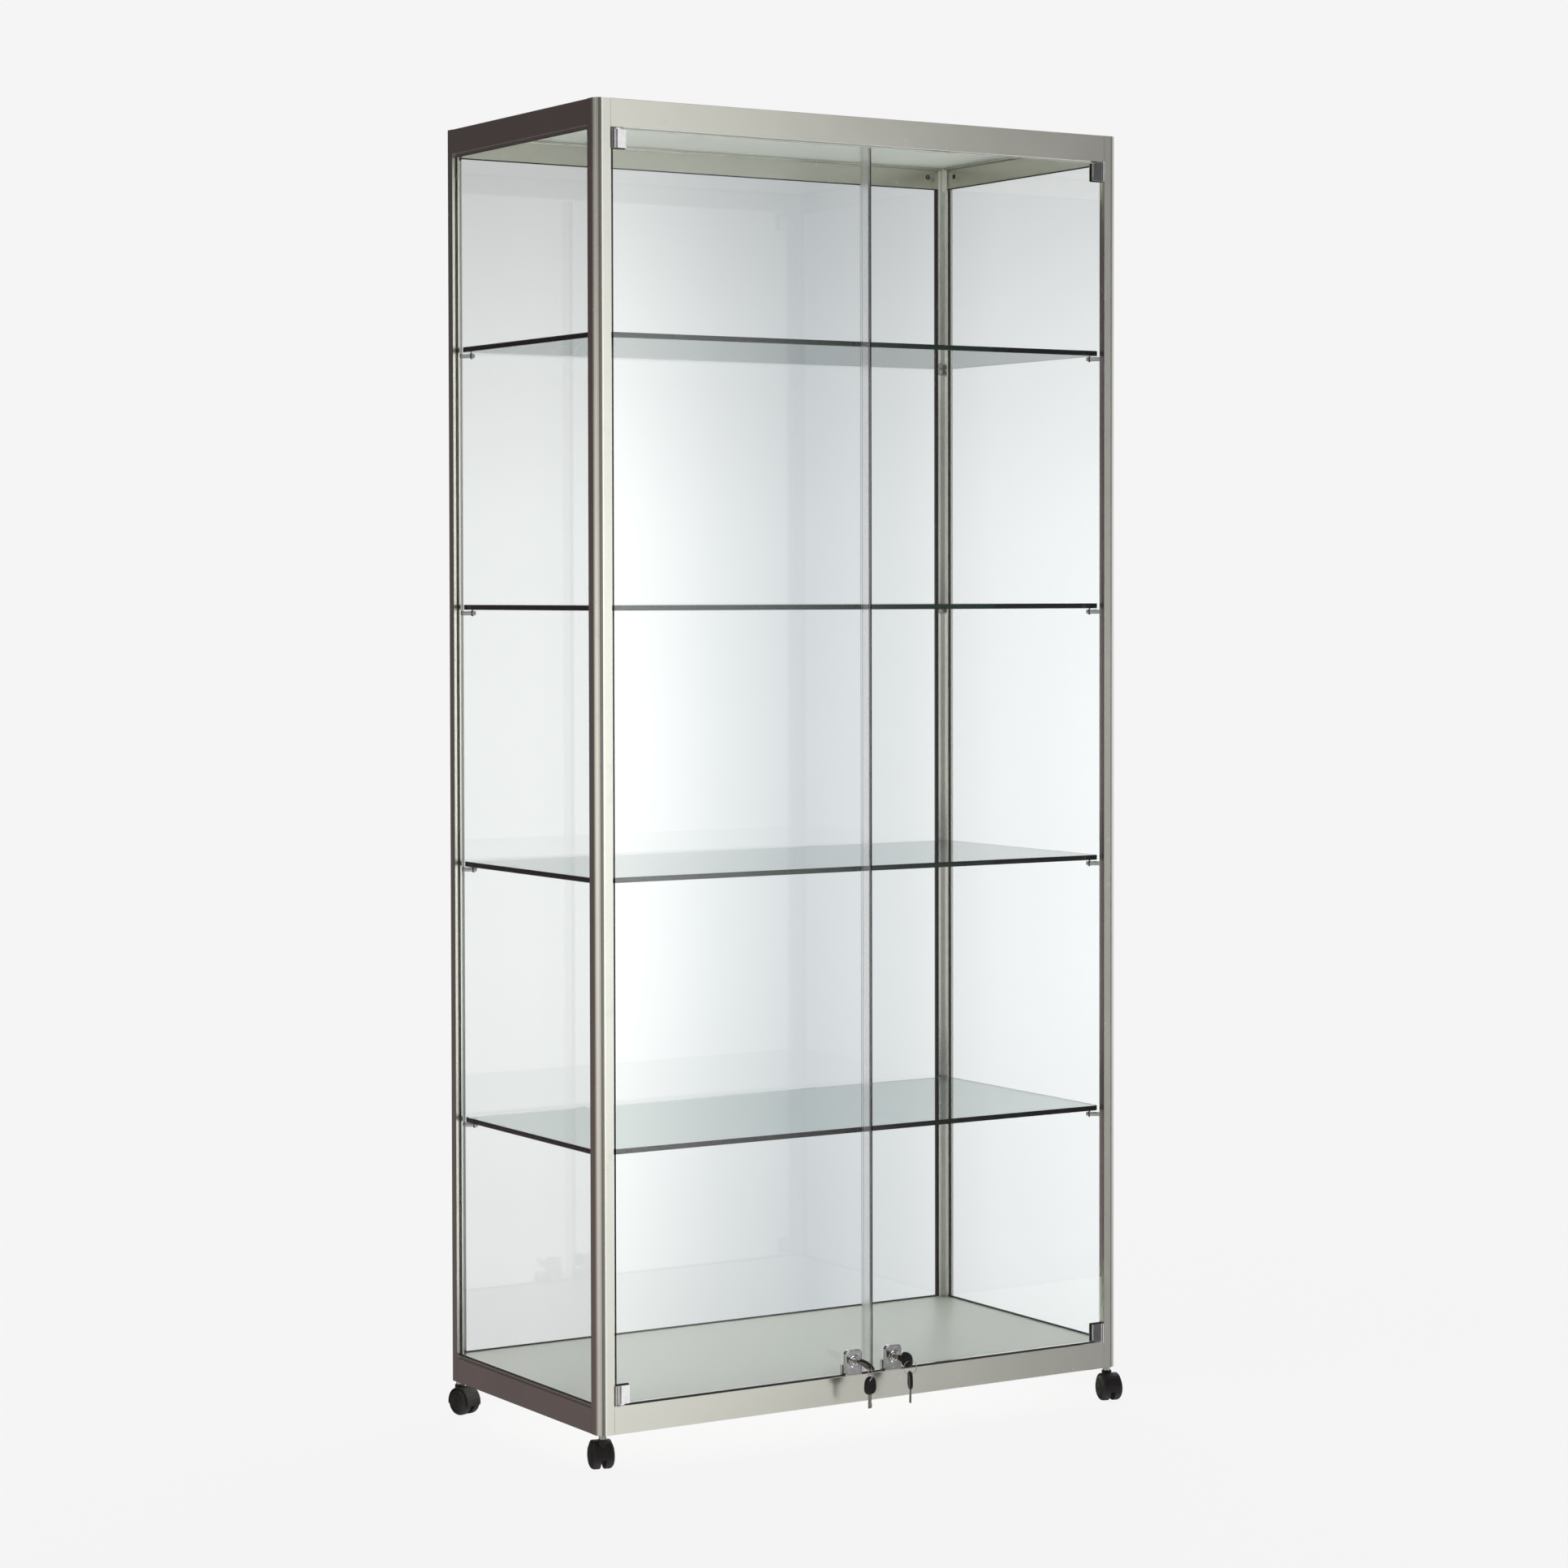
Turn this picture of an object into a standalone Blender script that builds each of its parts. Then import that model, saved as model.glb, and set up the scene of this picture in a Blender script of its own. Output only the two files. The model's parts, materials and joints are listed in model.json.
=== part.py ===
"""Free-standing glass display showcase with hinged doors, key locks, glass shelves and castors.

Units are metres, +Z is up and the front faces -Y. The origin is on the floor, under the centre of the
whole object's box. A corner of the frame is named by (side, end): side is -1 left or 1 right, and end
is -1 front or 1 rear. Inside a corner, u runs inwards from the outer side face and v inwards from the
outer front or rear face.
"""
import math

import bmesh
import bpy
from mathutils import Matrix, Vector

MM = 0.001
GAP = 0.3 * MM                      # clearance between pieces that touch
OVERCUT = 2 * MM                    # how far a cutter passes out of the face it opens
WELD = 0.01 * MM
SHARP_ANGLE = math.radians(35)

# Frame
WIDTH = 900 * MM
DEPTH = 460 * MM
FRAME_HEIGHT = 1865 * MM
FRAME_BOTTOM = 50 * MM              # height of the castors
POST = 24 * MM                      # square side of a corner post
POST_RADIUS = 12 * MM
RAIL_HEIGHT = 40 * MM
RAIL_WALL = 14 * MM
EDGE_BREAK = 0.6 * MM               # small chamfer on the rails' long edges

# Glazing
PANE = 5 * MM
PANE_CENTRE = 8 * MM                # from the outer face to the pane's middle plane
PANE_SLOT = 6 * MM
POST_SLOT_DEPTH = 7 * MM
RAIL_SLOT_DEPTH = 10 * MM
PANE_ENTRY = 6 * MM                 # how far a pane enters a post
GLAZING_STEP = 3 * MM
GLAZING_LIP = 4 * MM

# Panels
LEDGE = 6 * MM
LEDGE_THICKNESS = 3 * MM
BASE_PANEL = 9 * MM
BASE_PANEL_DROP = 1 * MM            # its top face lies this far under the bottom rails' top
TOP_PANEL = 5 * MM
TOP_PANEL_DROP = 1.7 * MM

# Shelves and their pegs
SHELF_TOPS = (397 * MM, 779 * MM, 1161 * MM, 1543 * MM)     # above the frame's bottom
SHELF_GLASS = 7.5 * MM
SHELF_SIDE_INSET = 16 * MM
SHELF_END_INSET = 26.5 * MM
SHELF_CORNER = 6 * MM
PEG_SLOT = 6.4 * MM
PEG_SLOT_DEPTH = 6 * MM
PEG_RADIUS = 3.2 * MM
PEG_COLLAR_RADIUS = 4.5 * MM
PEG_RING_RADIUS = 4.95 * MM         # rubber ring on the collar, which the shelf rests on
PEG_REACH = 21 * MM
STRIP_END_CLEARANCE = 5 * MM

# Doors
DOOR_SIDE_GAP = 4.3 * MM
DOOR_MEETING_GAP = 3.4 * MM
MEETING_X = 5.3 * MM                # the left door is a little wider than the right one
DOOR_END_GAP = 3 * MM
DOOR_SETBACK = 1.5 * MM             # from the frame's front face to the glass
SEAL_WIDTH = 13 * MM
SEAL_WALL = 0.8 * MM

# Hinges
BARREL_RADIUS = 3.9 * MM
BARREL_FROM_POST = 0.4 * MM         # between the barrel and the post
PIVOT_PROUD = 1.5 * MM              # the pivot lies this far in front of the frame
CLAMP_HEIGHT = 26 * MM
CLAMP_REACH = 18.6 * MM             # from the pivot axis towards the door's middle
CLAMP_PROUD = 3.5 * MM              # the clamp's face lies this far in front of the frame
CLAMP_BACK = 2.8 * MM               # thickness behind the glass
GROOVE = 0.9 * MM                   # upright groove between the barrel and the face
GROOVE_DEPTH = 2.5 * MM
PIN_RADIUS = 1.6 * MM
PIN_LENGTH = 7 * MM
ARM_CLEARANCE = 0.4 * MM            # between the arm and the clamp's end
ARM_LENGTH = 16 * MM
ARM_DEPTH = 12 * MM
ARM_SETBACK = 0.8 * MM              # from the frame's front face, beside the pivot
HINGE_EDGE_BREAK = 0.5 * MM

# Locks
LOCK_WIDTH = 28 * MM
LOCK_HEIGHT = 37 * MM
LOCK_DEPTH = 8.4 * MM
LOCK_SPACING = 69.4 * MM
LOCKS_MIDDLE = 3.9 * MM
LOCK_CORNER = 7 * MM
LOCK_WEB = 1.2 * MM                 # strap that passes under the glass
LOCK_LIP_DEPTH = 6 * MM
LOCK_LIP_HEIGHT = 14 * MM
PLUG_HEIGHT = 19 * MM               # plug axis above the door's lower edge
PLUG_RADIUS = 5.9 * MM
PLUG_PROUD = 2.3 * MM
BOLT_RADIUS = 2.5 * MM
BOLT_LENGTH = 11 * MM
BOLT_TRAVEL = 8 * MM
BOLT_CLEARANCE = 0.5 * MM           # the drawn-up bolt's end above the lock's underside
STRIKE_RADIUS = 3.2 * MM
DRIVE_NOTCH = 12 * MM               # square notch in the glass behind the plug
LOCK_EDGE_BREAK = 0.8 * MM
STRAP_INSET = 1 * MM                # the strap and lip are this much narrower than the housing
STRAP_START = 2 * MM                # behind the housing's front face
PLUG_BACK_WALL = 1.2 * MM

# Keys
BOW_LENGTH = 26 * MM
BOW_WIDTH = 24 * MM
BOW_THICKNESS = 4.4 * MM
BOW_HOLE_RADIUS = 2.6 * MM
BOW_HOLE_FROM_END = 5 * MM
BLADE_WIDTH = 6.6 * MM
BLADE_THICKNESS = 2.2 * MM
NECK_LENGTH = 19 * MM               # blade showing between the plug and the bow
SPARE_BLADE_LENGTH = 20 * MM
KEY_RING_DROP = 20 * MM             # from the hole in the used key to the spare key's hole
KEY_TURN_AT_REST = {-1: math.radians(-45), 1: 0.0}
SPARE_TWIST = {-1: math.radians(12), 1: math.radians(68)}

# Castors
STEM_INSET = 11 * MM
STEM_RADIUS = 5.4 * MM
STEM_ROD_RADIUS = 3 * MM
STEM_ROD_HEIGHT = 16 * MM
SWIVEL_PIN_RADIUS = 3 * MM
WHEEL_RADIUS = 19.5 * MM
WHEEL_BORE = 2.4 * MM
AXLE_RADIUS = 2 * MM
WEB_THICKNESS = 6 * MM
HOOD_RADIUS = 22 * MM
HOOD_WIDTH = 27 * MM
HOOD_WALL = 1.6 * MM
HOOD_CHAMFER = 1 * MM
HOOD_TOP = 43.6 * MM
BOSS_RADIUS = 7.5 * MM
BOSS_START = 12 * MM                # above the axle
SWIVEL_PIN_LENGTH = 3.4 * MM
STEM_CLEARANCE = 0.4 * MM           # between the collar and the hood, and beside each wheel
HUB_RADIUS = 9 * MM
SKIRT_DROP = 4 * MM                 # how far the hood comes down below the axle
AXLE_END = 0.6 * MM                 # from the hood's side to the axle's end
INNER_CHAMFER = 0.6 * MM
# Domed outer side of a wheel: how far each ring is inside the tread, and beyond the wheel's inner face
WHEEL_DOME = ((0, 7.6), (0.4, 9.2), (1.7, 11.2), (3.9, 12.8), (7.0, 13.8), (11.0, 14.1))
TRAIL = 10 * MM
# Direction of each castor's trail, in degrees from +X, as the castors were left by the last push
CASTOR_HEADING = {(-1, -1): 75, (1, -1): -105, (-1, 1): -75, (1, 1): -105}

# Places worked out from the sizes above
BOW_REACH = LOCK_DEPTH + GAP - DOOR_SETBACK + PLUG_PROUD + NECK_LENGTH + BOW_LENGTH
RING_HOLE_REACH = BOW_REACH - BOW_HOLE_FROM_END
SPARE_REACH = BOW_WIDTH / 2 * math.sin(SPARE_TWIST[1]) + BOW_THICKNESS / 2 * math.cos(SPARE_TWIST[1])
KEY_REACH = RING_HOLE_REACH + SPARE_REACH
REAR_HEADING = math.radians(-CASTOR_HEADING[(-1, 1)])
CASTOR_OVERHANG = (HOOD_RADIUS - TRAIL) * math.sin(REAR_HEADING)
CASTOR_OVERHANG += (HOOD_WIDTH / 2 - HOOD_CHAMFER) * math.cos(REAR_HEADING) - STEM_INSET
FRONT = -(DEPTH + CASTOR_OVERHANG - KEY_REACH) / 2
FRAME_TOP = FRAME_BOTTOM + FRAME_HEIGHT
RAIL_TOP = FRAME_BOTTOM + RAIL_HEIGHT
HEAD_RAIL = FRAME_TOP - RAIL_HEIGHT
DOOR_BOTTOM = RAIL_TOP + DOOR_END_GAP
DOOR_TOP = HEAD_RAIL - DOOR_END_GAP
GLASS_FRONT = FRONT + DOOR_SETBACK
PIVOT_Y = FRONT - PIVOT_PROUD
PIVOT_X = WIDTH / 2 - POST - BARREL_FROM_POST - BARREL_RADIUS
PLUG_Z = DOOR_BOTTOM + PLUG_HEIGHT
LOCK_FACE = GLASS_FRONT - GAP - LOCK_DEPTH
BOW_BACK = LOCK_FACE - PLUG_PROUD - NECK_LENGTH
RING_HOLE_Y = BOW_BACK - BOW_LENGTH + BOW_HOLE_FROM_END
BOLT_Y = GLASS_FRONT + PANE + GAP + LOCK_LIP_DEPTH / 2

AXES = {
    "X": Matrix(((0, 0, 1), (1, 0, 0), (0, 1, 0))),     # an outline holds (y, z)
    "Y": Matrix(((1, 0, 0), (0, 0, -1), (0, 1, 0))),    # an outline holds (x, z)
    "Z": Matrix.Identity(3),                            # an outline holds (x, y)
}
SIDES = {-1: "left", 1: "right"}
ENDS = {-1: "front", 1: "rear"}
CORNERS = [(side, end) for end in (-1, 1) for side in (-1, 1)]


# ---------------------------------------------------------------- scene and materials

def clear_scene():
    for item in list(bpy.data.objects):
        bpy.data.objects.remove(item, do_unlink=True)


def new_collection(name):
    group = bpy.data.collections.new(name)
    bpy.context.scene.collection.children.link(group)
    return group


def principled(name, colour, roughness, metallic=0.0, transmission=0.0):
    material = bpy.data.materials.new(name)
    material.use_nodes = True
    shader = material.node_tree.nodes["Principled BSDF"]
    shader.inputs["Base Color"].default_value = (*colour, 1.0)
    shader.inputs["Roughness"].default_value = roughness
    shader.inputs["Metallic"].default_value = metallic
    shader.inputs["Transmission Weight"].default_value = transmission
    return material


clear_scene()
PARTS = new_collection("glass_display_showcase")
CUTTERS = new_collection("cutters")

LOOKS = {
    "aluminium": ((0.62, 0.60, 0.55), 0.34, 1.0, 0.0),
    "glass": ((0.86, 0.93, 0.91), 0.02, 0.0, 1.0),
    "laminate": ((0.80, 0.84, 0.78), 0.45, 0.0, 0.0),
    "chrome": ((0.78, 0.78, 0.80), 0.08, 1.0, 0.0),
    "steel": ((0.50, 0.50, 0.50), 0.30, 1.0, 0.0),
    "black_plastic": ((0.02, 0.02, 0.02), 0.40, 0.0, 0.0),
    "clear_seal": ((0.85, 0.88, 0.86), 0.20, 0.0, 0.6),
}


def finish(item, name, look):
    """Names a piece, puts it with the others and gives it its own material."""
    item.name = name
    item.data.name = name
    item.data.materials.clear()
    item.data.materials.append(principled(name, *LOOKS[look]))
    item.data.set_sharp_from_angle(angle=SHARP_ANGLE)
    PARTS.objects.link(item)
    return item


# ---------------------------------------------------------------- modelling helpers

def mesh_object(mesh):
    return bpy.data.objects.new(mesh.name, mesh)


def welded_mesh(item):
    """The evaluated mesh of a curve or of a mesh with modifiers, closed and facing out."""
    bpy.context.scene.collection.objects.link(item)
    depsgraph = bpy.context.evaluated_depsgraph_get()
    mesh = bpy.data.meshes.new_from_object(item.evaluated_get(depsgraph))
    bm = bmesh.new()
    bm.from_mesh(mesh)
    bmesh.ops.remove_doubles(bm, verts=bm.verts, dist=WELD)
    bmesh.ops.recalc_face_normals(bm, faces=bm.faces)
    bm.to_mesh(mesh)
    bm.free()
    bpy.data.objects.remove(item, do_unlink=True)
    mesh.shade_smooth()
    return mesh


def prism(outline, low, high, axis="Z"):
    """A flat outline extruded along a world axis, from low to high."""
    curve = bpy.data.curves.new("outline", "CURVE")
    curve.dimensions = "2D"
    curve.fill_mode = "BOTH"
    curve.extrude = (high - low) / 2
    spline = curve.splines.new("POLY")
    spline.points.add(len(outline) - 1)
    for point, (a, b) in zip(spline.points, outline):
        point.co = (a, b, 0, 1)
    spline.use_cyclic_u = True
    mesh = welded_mesh(bpy.data.objects.new("outline", curve))
    turn = AXES[axis]
    middle = turn @ Vector((0, 0, (low + high) / 2))
    if axis == "Y":
        middle = -middle
    mesh.transform(Matrix.Translation(middle) @ turn.to_4x4())
    return mesh_object(mesh)


def block(low, high):
    """A box between two opposite corners."""
    bm = bmesh.new()
    bmesh.ops.create_cube(bm, size=1)
    size = Vector(high) - Vector(low)
    middle = (Vector(high) + Vector(low)) / 2
    bmesh.ops.transform(bm, matrix=Matrix.Translation(middle) @ Matrix.Diagonal((*size, 1)), verts=bm.verts)
    mesh = bpy.data.meshes.new("block")
    bm.to_mesh(mesh)
    bm.free()
    return mesh_object(mesh)


def turned(profile, steps, axis="Z", place=(0, 0, 0)):
    """A profile of (radius, height) points, listed from top to bottom, turned about a world axis."""
    mesh = bpy.data.meshes.new("profile")
    points = [(radius, 0, height) for radius, height in profile]
    mesh.from_pydata(points, [(i, i + 1) for i in range(len(points) - 1)], [])
    item = mesh_object(mesh)
    screw = item.modifiers.new("turn", "SCREW")
    screw.steps = steps
    screw.render_steps = steps
    screw.use_merge_vertices = True
    screw.merge_threshold = WELD
    screw.use_normal_calculate = True
    solid = welded_mesh(item)
    solid.transform(Matrix.Translation(place) @ AXES[axis].to_4x4())
    return mesh_object(solid)


def rod(radius, low, high, steps=16, axis="Z", centre=(0, 0)):
    """A plain cylinder between two heights along an axis; centre holds the other two coordinates."""
    place = {
        "X": (0, centre[0], centre[1]),
        "Y": (centre[0], 0, centre[1]),
        "Z": (centre[0], centre[1], 0),
    }[axis]
    sign = -1 if axis == "Y" else 1
    ends = sorted((sign * low, sign * high))
    return turned([(0, ends[1]), (radius, ends[1]), (radius, ends[0]), (0, ends[0])], steps, axis, place)


def boolean(item, tool, operation):
    """Cuts or joins a tool shape, which moves to the cutters' collection."""
    CUTTERS.objects.link(tool)
    tool.name = f"{item.name}_{operation.lower()}_{len(item.modifiers) + 1}"
    tool.hide_render = True
    tool.display_type = "WIRE"
    modifier = item.modifiers.new(tool.name, "BOOLEAN")
    modifier.operation = operation
    modifier.object = tool
    modifier.solver = "EXACT"
    return item


def cut(item, tool):
    return boolean(item, tool, "DIFFERENCE")


def join(item, tool):
    return boolean(item, tool, "UNION")


def bevel(item, width, limit_degrees=40):
    modifier = item.modifiers.new("edge_break", "BEVEL")
    modifier.width = width
    modifier.segments = 1
    modifier.limit_method = "ANGLE"
    modifier.angle_limit = math.radians(limit_degrees)
    return item


def arc(centre, radius, start, end, steps):
    """Points along an arc, with its angles in degrees."""
    angles = [math.radians(start + (end - start) * i / steps) for i in range(steps + 1)]
    return [(centre[0] + radius * math.cos(a), centre[1] + radius * math.sin(a)) for a in angles]


def rectangle(x0, y0, x1, y1):
    return [(x0, y0), (x1, y0), (x1, y1), (x0, y1)]


def axis_empty(name, place):
    """A joint's axis: the moving pieces are its children."""
    empty = bpy.data.objects.new(name, None)
    empty.location = place
    empty.empty_display_size = 20 * MM
    PARTS.objects.link(empty)
    return empty


def hang(item, parent):
    """Parents a piece that was made in world coordinates."""
    item.parent = parent
    item.matrix_parent_inverse = Matrix.Translation(-world_place(parent))
    return item


def world_place(item):
    """The empties are only moved, never turned, so their places add up."""
    place = item.location.copy()
    while item.parent:
        place = place + item.matrix_parent_inverse.translation + item.parent.location
        item = item.parent
    return place


def corner_xy(corner, u, v):
    """World x and y of a point at u and v inside a corner of the frame."""
    side, end = corner
    y = FRONT + v if end < 0 else FRONT + DEPTH - v
    return side * (WIDTH / 2 - u), y


def lock_x(side):
    return LOCKS_MIDDLE + side * LOCK_SPACING / 2


def corner_name(corner):
    return f"{ENDS[corner[1]]}_{SIDES[corner[0]]}"


# ---------------------------------------------------------------- frame

def slot_points(face, centre, width, depth):
    """A square slot in a face, listed from its inner side to its outer side, as (place, depth) pairs."""
    inner = centre + width / 2
    outer = centre - width / 2
    return [(inner, face), (inner, face - depth), (outer, face - depth), (outer, face)]


def post_outline(has_end_pane):
    """Round outside corner, pane slots, and a bevelled inside corner with the peg slot."""
    points = [(POST_RADIUS, 0), (POST, 0)]
    if has_end_pane:
        slot = slot_points(POST, PANE_CENTRE, PANE_SLOT, POST_SLOT_DEPTH)
        points += [(face, place) for place, face in reversed(slot)]
    points.append((POST, RAIL_WALL))
    middle = Vector(((POST + RAIL_WALL) / 2, (POST + RAIL_WALL) / 2))
    along = Vector((-1, 1)).normalized() * (PEG_SLOT / 2)
    inwards = Vector((-1, -1)).normalized() * PEG_SLOT_DEPTH
    for corner in (middle - along, middle - along + inwards, middle + along + inwards, middle + along):
        points.append(tuple(corner))
    points.append((RAIL_WALL, POST))
    points += slot_points(POST, PANE_CENTRE, PANE_SLOT, POST_SLOT_DEPTH)
    points.append((0, POST))
    points += arc((POST_RADIUS, POST_RADIUS), POST_RADIUS, 180, 270, 8)[:-1]
    return points


def build_post(corner):
    outline = [corner_xy(corner, u, v) for u, v in post_outline(corner[1] > 0)]
    post = prism(outline, FRAME_BOTTOM, FRAME_TOP)
    finish(post, f"post_{corner_name(corner)}", "aluminium")
    stem = corner_xy(corner, STEM_INSET, STEM_INSET)
    bore_top = FRAME_BOTTOM + STEM_ROD_HEIGHT + OVERCUT
    return cut(post, rod(STEM_ROD_RADIUS + GAP, FRAME_BOTTOM - OVERCUT, bore_top, centre=stem))


def rail_section(glazed, panel_face):
    """Section of a rail that carries its pane on top, as (inwards, upwards) points."""
    points = [(EDGE_BREAK, 0), (RAIL_WALL, 0)]
    points += [
        (RAIL_WALL, panel_face - LEDGE_THICKNESS),
        (RAIL_WALL + LEDGE, panel_face - LEDGE_THICKNESS),
        (RAIL_WALL + LEDGE, panel_face),
        (RAIL_WALL, panel_face),
    ]
    points.append((RAIL_WALL, RAIL_HEIGHT))
    if glazed:
        points += slot_points(RAIL_HEIGHT, PANE_CENTRE, PANE_SLOT, RAIL_SLOT_DEPTH)
        points += [
            (GLAZING_STEP, RAIL_HEIGHT),
            (GLAZING_STEP, RAIL_HEIGHT - GLAZING_LIP),
            (0, RAIL_HEIGHT - GLAZING_LIP),
        ]
    else:
        points += [(EDGE_BREAK, RAIL_HEIGHT), (0, RAIL_HEIGHT - EDGE_BREAK)]
    points.append((0, EDGE_BREAK))
    return points


def top_rail_section(glazed):
    """The bottom rail's section upside down, with the ledge under the top panel."""
    ledge_top = RAIL_HEIGHT - TOP_PANEL_DROP - TOP_PANEL - GAP
    upside_down = rail_section(glazed, RAIL_HEIGHT - ledge_top + LEDGE_THICKNESS)
    return [(u, RAIL_HEIGHT - z) for u, z in upside_down]


def rail(name, section, bottom, face):
    """A rail along the front, rear, left or right of the frame."""
    if face in ("front", "rear"):
        end = -1 if face == "front" else 1
        outline = [(corner_xy((1, end), 0, v)[1], bottom + z) for v, z in section]
        half = WIDTH / 2 - POST - GAP
        item = prism(outline, -half, half, "X")
    else:
        side = -1 if face == "left" else 1
        outline = [(corner_xy((side, -1), u, 0)[0], bottom + z) for u, z in section]
        item = prism(outline, FRONT + POST + GAP, FRONT + DEPTH - POST - GAP, "Y")
    return finish(item, name, "aluminium")


def build_rails():
    base_ledge = RAIL_HEIGHT - BASE_PANEL_DROP - BASE_PANEL - GAP
    for face in ("front", "rear", "left", "right"):
        glazed = face != "front"
        rail(f"top_rail_{face}", top_rail_section(glazed), HEAD_RAIL, face)
        bottom = rail(f"bottom_rail_{face}", rail_section(glazed, base_ledge), FRAME_BOTTOM, face)
        if face == "front":
            for side in SIDES:
                strike = rod(
                    STRIKE_RADIUS,
                    RAIL_TOP - BOLT_TRAVEL - OVERCUT,
                    RAIL_TOP + OVERCUT,
                    centre=(lock_x(side), BOLT_Y),
                )
                cut(bottom, strike)


def panel_outline():
    """Fills the frame inside the rails, with its corners cut to clear the posts."""
    edge = RAIL_WALL + GAP
    clear = POST + RAIL_WALL + 0.5 * MM - edge
    points = []
    for corner in ((-1, -1), (1, -1), (1, 1), (-1, 1)):
        pair = [corner_xy(corner, clear, edge), corner_xy(corner, edge, clear)]
        if corner in ((-1, -1), (1, 1)):
            pair.reverse()
        points += pair
    return points


def build_panels():
    top = FRAME_TOP - TOP_PANEL_DROP
    finish(prism(panel_outline(), top - TOP_PANEL, top), "top_panel", "laminate")
    base = RAIL_TOP - BASE_PANEL_DROP
    finish(prism(panel_outline(), base - BASE_PANEL, base), "base_panel", "laminate")


def build_panes():
    """Left, right and rear glass, held in the slots of the posts and rails."""
    entry = RAIL_SLOT_DEPTH - 0.5 * MM
    low = RAIL_TOP - entry
    high = HEAD_RAIL + entry
    inset = POST - PANE_ENTRY
    near = PANE_CENTRE - PANE / 2
    far = PANE_CENTRE + PANE / 2
    for side, name in SIDES.items():
        xs = sorted(side * (WIDTH / 2 - u) for u in (near, far))
        pane = block((xs[0], FRONT + inset, low), (xs[1], FRONT + DEPTH - inset, high))
        finish(pane, f"glass_{name}", "glass")
    pane = block(
        (-WIDTH / 2 + inset, FRONT + DEPTH - far, low),
        (WIDTH / 2 - inset, FRONT + DEPTH - near, high),
    )
    finish(pane, "glass_rear", "glass")


# ---------------------------------------------------------------- shelves and pegs

def build_shelves():
    x = WIDTH / 2 - SHELF_SIDE_INSET - SHELF_CORNER
    front = FRONT + SHELF_END_INSET + SHELF_CORNER
    rear = FRONT + DEPTH - SHELF_END_INSET - SHELF_CORNER
    outline = arc((x, rear), SHELF_CORNER, 0, 90, 4)
    outline += arc((-x, rear), SHELF_CORNER, 90, 180, 4)
    outline += arc((-x, front), SHELF_CORNER, 180, 270, 4)
    outline += arc((x, front), SHELF_CORNER, 270, 360, 4)
    for number, height in enumerate(SHELF_TOPS, start=1):
        top = FRAME_BOTTOM + height
        shelf = prism(outline, top - SHELF_GLASS, top)
        finish(bevel(shelf, EDGE_BREAK), f"shelf_{number}", "glass")


def peg_shape():
    """A round peg along +Z from inside its strip, with a collar near the tip for its rubber ring."""
    collar = PEG_REACH - 6 * MM
    return turned(
        [
            (0, PEG_REACH),
            (PEG_RADIUS - 0.8 * MM, PEG_REACH),
            (PEG_RADIUS, PEG_REACH - 0.8 * MM),
            (PEG_RADIUS, collar + 2.4 * MM),
            (PEG_COLLAR_RADIUS, collar + 2.4 * MM),
            (PEG_COLLAR_RADIUS, collar),
            (PEG_RADIUS, collar),
            (PEG_RADIUS, -PEG_SLOT_DEPTH / 2),
            (0, -PEG_SLOT_DEPTH / 2),
        ],
        8,
    )


def build_peg_strip(corner):
    """A strip in the post's slot with the four pegs under the shelves' corners."""
    bevel_middle = (POST + RAIL_WALL) / 2
    across = (PEG_SLOT / 2 - GAP) / math.sqrt(2)
    outline = []
    for depth, sign in ((GAP, -1), (PEG_SLOT_DEPTH - GAP, -1), (PEG_SLOT_DEPTH - GAP, 1), (GAP, 1)):
        inwards = depth / math.sqrt(2)
        u = bevel_middle - inwards - sign * across
        v = bevel_middle - inwards + sign * across
        outline.append(corner_xy(corner, u, v))
    strip = prism(outline, RAIL_TOP + STRIP_END_CLEARANCE, HEAD_RAIL - STRIP_END_CLEARANCE)
    finish(strip, f"peg_strip_{corner_name(corner)}", "steel")
    direction = Vector((-corner[0], -corner[1], 0)).normalized()
    turn = direction.to_track_quat("Z", "Y").to_matrix().to_4x4()
    shape = peg_shape().data
    x, y = corner_xy(corner, bevel_middle, bevel_middle)
    for height in SHELF_TOPS:
        z = FRAME_BOTTOM + height - SHELF_GLASS - PEG_RING_RADIUS
        peg = mesh_object(shape.copy())
        peg.data.transform(Matrix.Translation((x, y, z)) @ turn)
        join(strip, peg)
    return strip


# ---------------------------------------------------------------- doors and hinges

def door_outline(side):
    """Glass door with a notch behind the lock's plug."""
    outer = WIDTH / 2 - POST - DOOR_SIDE_GAP
    inner = side * MEETING_X + DOOR_MEETING_GAP / 2
    lock = side * lock_x(side)
    half = DRIVE_NOTCH / 2
    points = [
        (inner, DOOR_BOTTOM),
        (lock - half, DOOR_BOTTOM),
        (lock - half, DOOR_BOTTOM + DRIVE_NOTCH),
        (lock + half, DOOR_BOTTOM + DRIVE_NOTCH),
        (lock + half, DOOR_BOTTOM),
        (outer, DOOR_BOTTOM),
        (outer, DOOR_TOP),
        (inner, DOOR_TOP),
    ]
    return [(side * x, z) for x, z in points]


def clamp_span(top):
    """Lowest and highest z of a hinge clamp, which is level with the door's end."""
    return (DOOR_TOP - CLAMP_HEIGHT, DOOR_TOP) if top else (DOOR_BOTTOM, DOOR_BOTTOM + CLAMP_HEIGHT)


def hinge_name(kind, side, top):
    return f"hinge_{kind}_{'top' if top else 'bottom'}_{SIDES[side]}"


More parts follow.
